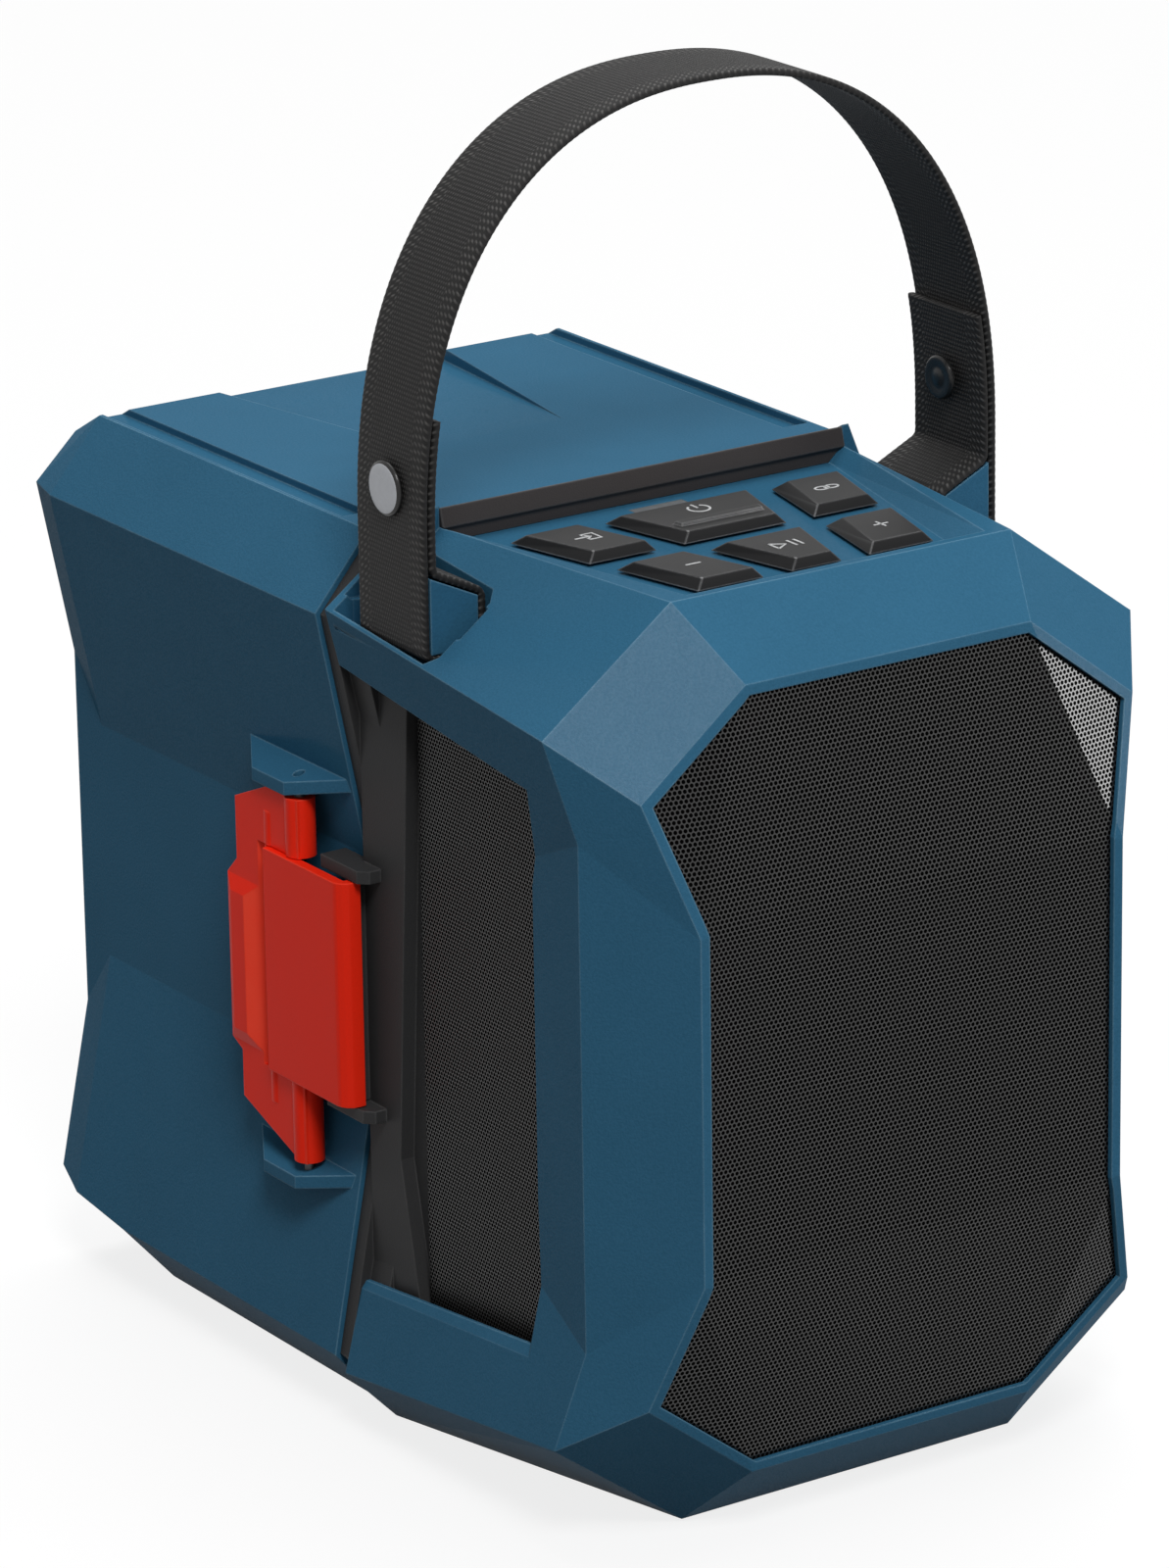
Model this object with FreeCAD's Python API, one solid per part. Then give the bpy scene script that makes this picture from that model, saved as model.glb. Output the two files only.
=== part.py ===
import FreeCAD, Part
import math
import os
from FreeCAD import Vector

# Overall sizes, in millimetres. "Back" is the distance behind the front face, heights are
# above the sole, "in" is from a side, "drop" is below the top and "lap" is an overlap.
WIDTH = 188.0
HEIGHT = 254.0
DEPTH = 292.0
WALL = 3.0
SLIDE_GAP = 0.3
FIT_GAP = 0.15
PIN_GAP = 0.05

# Rubber pad under the housing and feet under the rear cover
PAD_PROUD = 1.0
PAD_DEEP = 1.5
PAD_HALF = 44.0
PAD_FRONT = 42.0
PAD_LONG = 86.0
FOOT_RADIUS = 8.0
FOOT_SIDE = 50.0
FOOT_FROM_REAR = 56.0

# Front shell facets
SHELL_BACK = 134.0
BROW_BACK = 31.4
BROW_IN = 40.0
EDGE_DROP_FRONT = 29.6
EDGE_DROP_REAR = 20.0
FOOT_EDGE_REAR = 16.5
SHOULDER_IN = 27.5
SHOULDER_RISE = 0.3
SHOULDER_RUN = 12.0
SHOULDER_FALL = 9.0
SOLE_IN = 16.0
RIM_TOP_IN = 48.7
RIM_TOP_BACK = 11.1
RIM_TOP_DROP = 18.6
RIM_SIDE_IN = 15.6
RIM_SIDE_BACK = 10.3
RIM_WAIST_IN = 26.5
RIM_WAIST_TALL = 95.2
RIM_LAND = 2.8
CHEEK_BACK = 26.0
CHEEK_DROP = 57.2
CHEEK_TOE = 0.13

# Side windows in the front shell, and the mesh and pillar behind each
WINDOW_FRONT = 46.0
WINDOW_WAIST_FRONT = 52.5
WINDOW_DROP_FRONT = 47.3
WINDOW_DROP_REAR = 35.5
WINDOW_WAIST_RISE = 50.5
WINDOW_WAIST_FALL = 35.0
WINDOW_LOW_FRONT = 51.0
WINDOW_LOW_REAR = 41.5
SILL_IN = 7.5
SILL_RISE = 10.0
SILL_RUN = 8.0
SIDE_MESH_IN = 12.8
MESH_THICK = 1.5
MESH_LAP = 3.5
PILLAR_IN = 10.0
PILLAR_LONG = 24.0
PILLAR_BEND_LONG = 15.0
PILLAR_BEND_FALL = 46.0

# Front grille and drivers
GRILLE_RECESS = 1.5
BAFFLE_THICK = 4.0
BAFFLE_LAP = 3.0
WOOFER_RADIUS = 46.0
WOOFER_OPENING = 39.0
WOOFER_FLANGE = 3.0
WOOFER_DEPTH = 30.0
CONE_NECK = 15.0
CONE_THICK = 1.0
MAGNET_RADIUS = 34.0
MAGNET_THICK = 16.0
RADIATOR_RADIUS = 24.0
RADIATOR_BACK = 76.0
RADIATOR_LAP = 4.0
FACETS = 24

# Keypad
KEY_FLOOR_DROP = 4.0
TROUGH_FRONT = 34.0
TROUGH_FOOT_IN_FRONT = 54.5
TROUGH_FOOT_IN_REAR = 33.5
TROUGH_TOP_IN_FRONT = 46.5
TROUGH_TOP_IN_REAR = 28.7
KEY_HEIGHT = 3.8
KEY_TRAVEL = 0.6
KEY_REST = 0.2
KEY_DEPTH = 28.5
KEY_FAN = 0.22
KEY_SKIRT_SIDE = 2.6
KEY_SKIRT_FRONT = 1.8
KEY_SKIRT_REAR = 4.4
KEY_STEM = 5.0
KEY_EDGE = 4.0
KEY_SPACE = 8.6
KEY_PLAY_HALF = 8.0
KEY_POWER_HALF = 16.5
FRONT_ROW_BACK = 42.8
ROW_STEP = 36.6
POWER_BAR_HALF = 13.0
POWER_BAR_DEPTH = 3.0
POWER_BAR_RISE = 0.9
MEMBRANE_THICK = 2.0
BOARD_THICK = 1.6
LIGHT_HALF = 8.5
LIGHT_DEPTH = 7.0
LIGHT_SPACE = 3.4

# Black trim across the top
BAND_LONG = 13.6
BAND_LEAN = 1.5
BAND_STEP = 1.2
BAND_RISE = 5.9
SADDLE_LAP = 2.0
SADDLE_SLOPE = 4.0

# Chassis and rear cover
FLANGE_THICK = 4.7
FLANGE_INSET = 1.4
SLEEVE_LONG = 10.0
TONGUE_LONG = 27.0
SEAL_WIDE = 1.3
SEAL_DEEP = 1.2
SEAL_IN = 1.7
COVER_WAIST_IN = 14.0
COVER_WAIST_TALL = 69.0
COVER_EDGE_DROP = 22.5
COVER_EDGE_LOW = 20.0
COVER_DROP = 2.3
COVER_TOP_IN = 17.0
COVER_SOLE = 2.0
COVER_KICK_LONG = 40.0
COVER_KICK = 6.5
COVER_TAIL_LONG = 14.0
COVER_WALL = 3.2
TAIL_DROP = 10.0
TAIL_EDGE_IN = 3.8
TAIL_WAIST_RISE = 53.0
TAIL_WAIST_FALL = 52.0
TAIL_SOLE = 12.0
GROOVE_DEEP = 2.2
GROOVE_IN = 18.0
GROOVE_WIDE = 8.5
GROOVE_SETBACK = 14.0
DISH_DEEP = 3.6
DISH_LONG = 95.0
DISH_HALF_FRONT = 24.0
DISH_HALF_REAR = 38.0
SCREW_IN = 42.0
SCREW_RADIUS = 1.5
SCREW_HEAD = 3.0
SCREW_HEAD_DEEP = 2.0
SCREW_LONG = 16.0
SCREW_BOSS = 4.0
SCREW_INBOARD = 9.0

# Draw latch on the left side
PIN_IN = 5.0
PIN_SETBACK = 18.5
PIN_RADIUS = 1.5
EAR_ABOVE = 1.0
EAR_BELOW = 4.0
EAR_THICK = 3.7
EAR_SLOPE = 3.4
HUB_RADIUS = 4.2
LEVER_THICK = 3.5
LEVER_TALL = 104.5
LEVER_FALL = 56.5
LEVER_LONG = 33.5
LEVER_TOE = 3.5
LEVER_STEP = 5.0
LEVER_CORNER = 7.0
LEVER_SET = 1.8
GRIP_DEEP = 6.0
GRIP_BEVEL = 4.0
GRIP_RISE = 26.5
GRIP_TALL = 48.0
LATCH_CRANK = 12.0
BAIL_PIN_RADIUS = 1.25
BAIL_HUB = 3.6
BAIL_RISE = 23.5
BAIL_TALL = 64.0
BAIL_REACH = 4.0
BAIL_ROUND = 4.5
BAIL_THICK = 3.2
LIP_DEEP = 3.3
LIP_THICK = 3.4
CATCH_THICK = 4.0
BOSS_INNER = 12.0
BOSS_OUTER = 4.0
BOSS_THICK = 3.6
BOSS_SPACE = 0.3
BOSS_REACH = 8.5
BOSS_LONG = 20.5
BOSS_BEVEL = 2.5

# Hinge on the right side
HINGE_SETBACK = 8.5
HINGE_RADIUS = 5.0
HINGE_PIN_RADIUS = 2.0
HINGE_TALL = 64.0
DOOR_RELIEF = 2.0

# Webbing handle
STRAP_WIDE = 32.0
STRAP_THICK = 2.2
STRAP_RISE = 119.0
STRAP_SPRING_RISE = 8.0
STRAP_SQUARE = 2.3
TAIL_RISE = 40.0
BAR_WIDE = 14.6
BAR_DROP = 1.4
BAR_SLOPE = 6.9
BAR_TALL = 16.2
BAR_CORNER = 2.5
SNAP_RISE = 20.0
SNAP_RADIUS = 7.5
SNAP_SHANK = 2.0
SNAP_THICK = 1.3
POCKET_SPACE = 3.0
POCKET_SETBACK = 3.0
POCKET_LONG = 46.0
POCKET_IN = 23.0
POCKET_DROP = 25.0
POCKET_WALL = 2.0

# Inside
AMP_HALF = 36.0
AMP_TALL = 72.0
AMP_SPACE = 12.0
AMP_POST = 3.0
DOCK_HALF = 34.0
DOCK_LOW = 50.0
DOCK_TALL = 90.0
DOCK_THICK = 3.0
DOCK_RAIL = 8.0
TERMINAL_HALF = 18.0
TERMINAL_TALL = 24.0
TERMINAL_DEEP = 7.0
SOCKET_DROP = 64.0
SOCKET_STEP = 24.0
SOCKET_DEEP = 3.0
USB_HALF = 8.0
USB_TALL = 8.0
JACK_RADIUS = 5.0
JACK_BORE = 2.5

# Worked out from the sizes above
HALF = WIDTH / 2
MID = HEIGHT / 2
PAD_REAR = PAD_FRONT + PAD_LONG
FLANGE_BACK = SHELL_BACK + FLANGE_THICK
COVER_BACK = FLANGE_BACK + SLIDE_GAP
FOOT_BACK = DEPTH - FOOT_FROM_REAR
BROW_HALF = HALF - BROW_IN
SHOULDER_HALF = HALF - SHOULDER_IN
SHOULDER_BACK = SHELL_BACK - SHOULDER_RUN
SOLE_HALF_REAR = HALF - SOLE_IN
RIM_TOP_HALF = HALF - RIM_TOP_IN
RIM_SIDE_HALF = HALF - RIM_SIDE_IN
RIM_WAIST_HALF = HALF - RIM_WAIST_IN
RIM_WAIST_HIGH = MID + RIM_WAIST_TALL / 2
WINDOW_TOP_FRONT = HEIGHT - WINDOW_DROP_FRONT
WINDOW_TOP_REAR = HEIGHT - WINDOW_DROP_REAR
WINDOW_WAIST_TOP = MID + WINDOW_WAIST_RISE
WINDOW_WAIST_LOW = MID - WINDOW_WAIST_FALL
SILL_HALF = HALF - SILL_IN
SIDE_MESH_OUT = HALF - SIDE_MESH_IN
CHEEK_OUT = SIDE_MESH_OUT - MESH_THICK
CHEEK_INNER = CHEEK_OUT - WALL
PILLAR_HALF = HALF - PILLAR_IN
PILLAR_FRONT = SHELL_BACK - PILLAR_LONG
PILLAR_BEND = SHELL_BACK - PILLAR_BEND_LONG
PILLAR_BEND_HIGH = MID - PILLAR_BEND_FALL
BAFFLE_REAR = WALL + BAFFLE_THICK
KEY_FLOOR = HEIGHT - KEY_FLOOR_DROP
TROUGH_FOOT_FRONT = HALF - TROUGH_FOOT_IN_FRONT
TROUGH_FOOT_REAR = HALF - TROUGH_FOOT_IN_REAR
TROUGH_TOP_FRONT = HALF - TROUGH_TOP_IN_FRONT
TROUGH_TOP_REAR = HALF - TROUGH_TOP_IN_REAR
BAND_FOOT = SHELL_BACK - BAND_LONG
LIGHT_FRONT = BAND_FOOT - LIGHT_SPACE - LIGHT_DEPTH
COVER_WAIST_HALF = HALF - COVER_WAIST_IN
COVER_WAIST_TOP = MID + COVER_WAIST_TALL / 2
COVER_WAIST_LOW = MID - COVER_WAIST_TALL / 2
COVER_EDGE_TOP = HEIGHT - COVER_EDGE_DROP
COVER_TOP = HEIGHT - COVER_DROP
COVER_TOP_HALF = HALF - COVER_TOP_IN
COVER_KICK_BACK = DEPTH - COVER_KICK_LONG
COVER_SIDE_BACK = DEPTH - COVER_TAIL_LONG
TAIL_EDGE_HALF = HALF - TAIL_EDGE_IN
GROOVE_OUTER = HALF - GROOVE_IN
GROOVE_START = COVER_BACK + GROOVE_SETBACK
DISH_FRONT = DEPTH - DISH_LONG
SCREW_SIDE = HALF - SCREW_IN
PIN_SIDE = HALF - PIN_IN
PIN_BACK = COVER_BACK + PIN_SETBACK
BAIL_PIN_BACK = PIN_BACK + LATCH_CRANK
LEVER_LOW = MID - LEVER_FALL
LEVER_HIGH = LEVER_LOW + LEVER_TALL
LEVER_REAR = PIN_BACK + LEVER_LONG
LEVER_FRONT = PIN_BACK - LEVER_TOE
EAR_TOP = LEVER_HIGH + EAR_ABOVE
EAR_LOW = LEVER_LOW - EAR_BELOW
GRIP_LOW = LEVER_LOW + GRIP_RISE
GRIP_HIGH = GRIP_LOW + GRIP_TALL
BAIL_LOW = LEVER_LOW + BAIL_RISE
BAIL_HIGH = BAIL_LOW + BAIL_TALL
BAIL_FRONT = SHELL_BACK - BAIL_REACH
HINGE_SIDE = HALF - HINGE_RADIUS
HINGE_BACK = COVER_BACK + HINGE_SETBACK
HINGE_LOW = MID - HINGE_TALL / 2
HINGE_HIGH = MID + HINGE_TALL / 2
STRAP_SIDE = HALF - SNAP_THICK - SLIDE_GAP
STRAP_HIGH = HEIGHT + STRAP_RISE
STRAP_SPRING = HEIGHT + STRAP_SPRING_RISE
TAIL_HIGH = HEIGHT + TAIL_RISE
BAR_SIDE = STRAP_SIDE - STRAP_THICK - SLIDE_GAP
BAR_INNER = BAR_SIDE - BAR_WIDE
BAR_HIGH = HEIGHT - BAR_DROP
BAR_LOW = BAR_HIGH - BAR_TALL
SNAP_HIGH = HEIGHT + SNAP_RISE
POCKET_REAR = SHELL_BACK - POCKET_SETBACK
POCKET_FRONT = POCKET_REAR - POCKET_LONG
POCKET_INNER = HALF - POCKET_IN
POCKET_FLOOR = HEIGHT - POCKET_DROP
STRAP_FRONT = POCKET_FRONT + POCKET_SPACE
AMP_BACK = SHELL_BACK - AMP_SPACE
DOCK_HIGH = DOCK_LOW + DOCK_TALL
SOCKET_HIGH = HEIGHT - SOCKET_DROP
UP = Vector(0, 0, 1)
ACROSS = Vector(1, 0, 0)
REARWARD = Vector(0, 1, 0)
ORIGIN = Vector(0, 0, 0)


def at(x, back, z):
    """A point given by its distance behind the front face."""
    return Vector(x, back - (PAD_FRONT + PAD_REAR) / 2, z + PAD_PROUD)


def box(x0, x1, back0, back1, z0, z1):
    return Part.makeBox(x1 - x0, back1 - back0, z1 - z0, at(x0, back0, z0))


def post(x, back, radius, z0, z1):
    """An upright cylinder."""
    return Part.makeCylinder(radius, z1 - z0, at(x, back, z0), UP)


def rod(x, z, radius, back0, back1):
    """A cylinder that lies front to back."""
    return Part.makeCylinder(radius, back1 - back0, at(x, back0, z), REARWARD)


def mirrored(shape):
    return shape.mirror(ORIGIN, ACROSS)


def both_sides(shape):
    return shape.fuse(mirrored(shape))


def prism_along(points, direction):
    """A flat outline pushed along a direction."""
    return Part.Face(Part.makePolygon(points + points[:1])).extrude(direction)


def side_prism(outline, x0, x1):
    """An outline of (back, z) pairs from x0 to x1."""
    return prism_along([at(x0, back, z) for back, z in outline], Vector(x1 - x0, 0, 0))


def front_prism(outline, back0, back1):
    """An outline of (x, z) pairs from back0 to back1."""
    return prism_along([at(x, back0, z) for x, z in outline], Vector(0, back1 - back0, 0))


def top_prism(outline, z0, z1):
    """An outline of (x, back) pairs from z0 to z1."""
    return prism_along([at(x, back, z0) for x, back in outline], Vector(0, 0, z1 - z0))


def turned(profile, centre, along, out):
    """A ring turned about an axis from (radius, distance along) pairs."""
    points = [centre + out * radius + along * far for radius, far in profile]
    return Part.Face(Part.makePolygon(points + points[:1])).revolve(centre, along, 360)


def facet_solid(faces):
    """A closed solid from flat facets, with bent ones split into triangles."""
    sheets = []
    for points in faces:
        wire = Part.makePolygon(points + points[:1])
        try:
            sheet = Part.Face(wire)
            flat = sheet.isValid()
        except Part.OCCError:
            flat = False
        if flat:
            sheets.append(sheet)
        else:
            for i in range(1, len(points) - 1):
                corner = [points[0], points[i], points[i + 1], points[0]]
                sheets.append(Part.Face(Part.makePolygon(corner)))
    solid = Part.Solid(Part.makeShell(sheets))
    if solid.Volume < 0:
        solid.reverse()
    return solid


def ruled_solid(rings):
    """Flat facets between closed outlines with the same number of points."""
    faces = [list(reversed(rings[0])), rings[-1]]
    for near, far in zip(rings, rings[1:]):
        count = len(near)
        for i in range(count):
            j = (i + 1) % count
            faces.append([near[i], near[j], far[j], far[i]])
    return facet_solid(faces)


def plane_hit(a, b, c, through, direction):
    """Where a line meets the plane of three points."""
    normal = (b - a).cross(c - a)
    step = normal.dot(a - through) / normal.dot(direction)
    return through + direction * step


def inset_outline(points, gap):
    """A closed flat outline of (x, z) pairs moved inward by a gap."""
    count = len(points)
    lines = []
    for i in range(count):
        ax, az = points[i]
        bx, bz = points[(i + 1) % count]
        size = math.hypot(bx - ax, bz - az)
        nx, nz = (bz - az) / size, (ax - bx) / size
        lines.append((nx, nz, nx * ax + nz * az - gap))
    moved = []
    for i in range(count):
        a0, b0, c0 = lines[i - 1]
        a1, b1, c1 = lines[i]
        cross = a0 * b1 - a1 * b0
        moved.append(((c0 * b1 - c1 * b0) / cross, (a0 * c1 - a1 * c0) / cross))
    return moved


def ring_outline(right, gap):
    """The right half of an outline, from the top down, made whole and drawn in."""
    ring = right + [(-x, z) for x, z in reversed(right)]
    return inset_outline(list(reversed(ring)), gap)


def front_form(inset):
    """The faceted front body, solid, with every face drawn in by an inset."""
    edge = HALF - inset
    top = HEIGHT - inset
    rim_back = RIM_TOP_BACK + inset
    brow = at(BROW_HALF - inset / 2, BROW_BACK + inset, top)
    corner = at(edge, BROW_BACK + inset / 2, HEIGHT - EDGE_DROP_FRONT)
    rim_top = at(RIM_TOP_HALF, rim_back, HEIGHT - RIM_TOP_DROP - inset / 2)
    side_guess = at(RIM_SIDE_HALF - inset / 2, RIM_SIDE_BACK + inset, MID)
    rim_side = plane_hit(brow, corner, rim_top, side_guess, UP)
    rim_waist = at(RIM_WAIST_HALF - inset / 4, inset, RIM_WAIST_HIGH)
    cheek_guess = at(edge, CHEEK_BACK + inset / 2, HEIGHT - CHEEK_DROP)
    cheek = plane_hit(corner, rim_side, rim_waist, cheek_guess, ACROSS)
    ridge = at(SHOULDER_HALF - inset / 2, SHELL_BACK, HEIGHT + SHOULDER_RISE - inset)
    crease = at(edge, SHELL_BACK, HEIGHT - EDGE_DROP_REAR)
    back_side = at(cheek.x - CHEEK_TOE * (SHELL_BACK - CHEEK_BACK), SHELL_BACK, MID)
    waist = plane_hit(corner, crease, cheek, back_side, UP)

    middle = at(0, 0, MID).z

    def low(p):
        return Vector(p.x, p.y, 2 * middle - p.z)

    foot = at(edge, SHELL_BACK, FOOT_EDGE_REAR)
    sole = at(SOLE_HALF_REAR - inset / 2, SHELL_BACK, inset)
    low_waist = plane_hit(low(corner), foot, low(cheek), back_side, UP)

    def mid(p):
        return Vector(0, p.y, p.z)

    half = [
        [mid(brow), brow, rim_top, mid(rim_top)],
        [brow, corner, rim_side, rim_top],
        [corner, cheek, rim_waist, rim_side],
        [mid(rim_top), rim_top, rim_waist, mid(rim_waist)],
        [rim_top, rim_side, rim_waist],
        [mid(rim_waist), rim_waist, low(rim_waist), mid(low(rim_waist))],
        [cheek, low(cheek), low(rim_waist), rim_waist],
        [low(rim_top), low(rim_waist), low(rim_side)],
        [mid(low(rim_top)), mid(low(rim_waist)), low(rim_waist), low(rim_top)],
        [low(corner), low(rim_side), low(rim_waist), low(cheek)],
        [low(brow), low(rim_top), low(rim_side), low(corner)],
        [mid(low(brow)), mid(low(rim_top)), low(rim_top), low(brow)],
        [mid(brow), mid(ridge), ridge, brow],
        [brow, ridge, corner],
        [ridge, crease, corner],
        [corner, crease, waist, cheek],
        [cheek, waist, low_waist, low(cheek)],
        [low(cheek), low_waist, foot, low(corner)],
        [low(brow), low(corner), sole],
        [low(corner), foot, sole],
        [mid(low(brow)), low(brow), sole, mid(sole)],
        [mid(ridge), mid(sole), sole, foot, low_waist, waist, crease, ridge],
    ]
    other = [[Vector(-p.x, p.y, p.z) for p in reversed(face)] for face in half]
    return facet_solid(half + other).removeSplitter()


def chamber(inset):
    """The room inside the front shell, under the keypad, drawn in by an inset."""
    roof = box(-WIDTH, WIDTH, 0, 2 * DEPTH, KEY_FLOOR - inset, 2 * HEIGHT)
    return front_form(inset).cut(roof)


def moved_back(shape, distance):
    other = shape.copy()
    other.translate(REARWARD * distance)
    return other


def rim_outline(gap):
    """The grille opening's outline of (x, z) pairs, drawn in by a gap."""
    upper = [
        (RIM_TOP_HALF, HEIGHT - RIM_TOP_DROP),
        (RIM_SIDE_HALF, rim_side_height()),
        (RIM_WAIST_HALF, RIM_WAIST_HIGH),
    ]
    return ring_outline(upper + [(x, HEIGHT - z) for x, z in reversed(upper)], gap)


def rim_side_height():
    """How high the rim's side corner lies on the facet beside the brow."""
    brow = at(BROW_HALF, BROW_BACK, HEIGHT)
    corner = at(HALF, BROW_BACK, HEIGHT - EDGE_DROP_FRONT)
    rim_top = at(RIM_TOP_HALF, RIM_TOP_BACK, HEIGHT - RIM_TOP_DROP)
    guess = at(RIM_SIDE_HALF, RIM_SIDE_BACK, MID)
    return plane_hit(brow, corner, rim_top, guess, UP).z - PAD_PROUD


def window_outline():
    """The side window as (back, z) pairs, from its upper rear corner."""
    return [
        (FLANGE_BACK, WINDOW_TOP_REAR),
        (WINDOW_FRONT, WINDOW_TOP_FRONT),
        (WINDOW_WAIST_FRONT, WINDOW_WAIST_TOP),
        (WINDOW_WAIST_FRONT, WINDOW_WAIST_LOW),
        (WINDOW_LOW_FRONT, WINDOW_LOW_FRONT),
        (FLANGE_BACK, WINDOW_LOW_REAR),
    ]


def window_cutter():
    """Level sides inside and a sloping sill outside."""
    inner = window_outline()
    fall = 2 * SILL_RISE
    outer = inner[:4] + [(back, z - fall) for back, z in inner[4:]]
    hollow = side_prism(inner, HALF / 2, SILL_HALF)
    slope = ruled_solid([
        [at(SILL_HALF, back, z) for back, z in inner],
        [at(SILL_HALF + 2 * SILL_RUN, back, z) for back, z in outer],
    ])
    return hollow.fuse(slope)


def trough_form(gap):
    """The sunken keypad between the two shoulders, drawn in by a gap."""
    high = HEIGHT + 2 * BAND_RISE

    def ring(back, foot, top, top_z):
        half = [
            at(0, back, high),
            at(top - gap, back, high),
            at(top - gap, back, top_z),
            at(foot - gap, back, KEY_FLOOR),
            at(0, back, KEY_FLOOR),
        ]
        return half + [Vector(-p.x, p.y, p.z) for p in reversed(half[1:4])]

    return ruled_solid([
        ring(TROUGH_FRONT, TROUGH_FOOT_FRONT, TROUGH_TOP_FRONT, HEIGHT),
        ring(BAND_FOOT, TROUGH_FOOT_REAR, TROUGH_TOP_REAR, HEIGHT + SHOULDER_RISE),
        ring(COVER_BACK, TROUGH_FOOT_REAR, TROUGH_TOP_REAR, HEIGHT + SHOULDER_RISE),
    ])


def slope_height(back):
    """Where the top lies behind the shoulders, as it falls to the rear cover."""
    reach = COVER_BACK - SHOULDER_BACK
    return HEIGHT + BAND_RISE - SHOULDER_FALL * (back - SHOULDER_BACK) / reach


def shoulder_slope_cutter():
    outline = [
        (SHOULDER_BACK, slope_height(SHOULDER_BACK)),
        (COVER_BACK, slope_height(COVER_BACK)),
        (COVER_BACK, HEIGHT + 2 * BAND_RISE),
        (SHOULDER_BACK, HEIGHT + 2 * BAND_RISE),
    ]
    return side_prism(outline, -HALF, HALF)


def saddle():
    """The low wall that stands round the dark trim's ends and slopes to each shoulder."""
    top = TROUGH_TOP_REAR + SADDLE_LAP
    return front_prism([
        (-top, HEIGHT + BAND_RISE),
        (top, HEIGHT + BAND_RISE),
        (top + SADDLE_SLOPE, KEY_FLOOR),
        (-top - SADDLE_SLOPE, KEY_FLOOR),
    ], SHOULDER_BACK, SHELL_BACK)


def strap_pocket():
    """The opening in a shoulder where the webbing goes down to its bar."""
    edge = HALF - POCKET_WALL / 2
    outline = [
        (edge, POCKET_REAR),
        (edge, POCKET_FRONT + WALL),
        (edge - WALL, POCKET_FRONT),
        (POCKET_INNER + WALL, POCKET_FRONT),
        (POCKET_INNER, POCKET_FRONT + WALL),
        (POCKET_INNER, POCKET_REAR - 4 * WALL),
        (edge - 2 * WALL, POCKET_REAR),
    ]
    return top_prism(outline, POCKET_FLOOR, HEIGHT + BAND_RISE)


def pocket_tub(gap):
    """The closed lining under a pocket that carries the strap's bar."""
    return box(POCKET_INNER - WALL - gap, HALF - POCKET_WALL / 2 + gap,
               POCKET_FRONT - POCKET_WALL - gap, POCKET_REAR + POCKET_WALL + gap,
               POCKET_FLOOR - WALL - gap, HEIGHT)


def bar_face(gap):
    """The section of the block that the webbing goes round, grown by a gap."""
    outline = [
        (BAR_SIDE, BAR_HIGH),
        (BAR_INNER, BAR_HIGH - BAR_SLOPE),
        (BAR_INNER, BAR_LOW + BAR_CORNER),
        (BAR_INNER + BAR_CORNER, BAR_LOW),
        (BAR_SIDE - BAR_CORNER, BAR_LOW),
        (BAR_SIDE, BAR_LOW + BAR_CORNER),
    ]
    points = [at(x, 0, z) for x, z in outline + outline[:1]]
    face = Part.Face(Part.makePolygon(points))
    return face.makeOffset2D(gap, join=2) if gap else face


def bar_block(gap):
    """The block across a pocket, with its ends in the pocket's end walls."""
    end = POCKET_WALL / 2 - gap
    start = POCKET_FRONT - end - 2 * gap
    block = bar_face(gap).extrude(Vector(0, POCKET_REAR + end + 2 * gap - start, 0))
    block.translate(Vector(0, start, 0))
    return block


def trough_foot(back):
    """Half the width of the keypad's floor at a distance behind the front face."""
    share = (back - TROUGH_FRONT) / (BAND_FOOT - TROUGH_FRONT)
    return TROUGH_FOOT_FRONT + share * (TROUGH_FOOT_REAR - TROUGH_FOOT_FRONT)


def key_layout():
    """Each key's front edge, middle, half width and fan of its two sides."""
    fan = KEY_FAN
    keys = {}
    rows = [
        (FRONT_ROW_BACK, KEY_PLAY_HALF, ("key_minus", "key_play", "key_plus")),
        (FRONT_ROW_BACK + ROW_STEP, KEY_POWER_HALF, ("key_source", "key_power", "key_link")),
    ]
    for front, middle_half, (left, middle, right) in rows:
        outer = trough_foot(front) - KEY_EDGE
        half = (outer - KEY_SPACE - middle_half) / 2
        step = outer - half
        keys[left] = (front, -step, half, -fan, -fan)
        keys[middle] = (front, 0.0, middle_half, -fan, fan)
        keys[right] = (front, step, half, fan, fan)
    return keys


def key_outline(spec):
    """A key's four plan corners."""
    front, middle, half, fan_left, fan_right = spec
    rear = front + KEY_DEPTH
    return [
        (middle - half, front),
        (middle + half, front),
        (middle + half + fan_right * KEY_DEPTH, rear),
        (middle - half + fan_left * KEY_DEPTH, rear),
    ]


def stem_box(spec, gap, z0, z1):
    """The square stem under a key, or with a gap the hole that it runs in."""
    middle = sum(x for x, back in key_outline(spec)) / 4
    centre = spec[0] + KEY_DEPTH / 2
    reach = KEY_STEM + gap
    return box(middle - reach, middle + reach, centre - reach, centre + reach, z0, z1)


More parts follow.
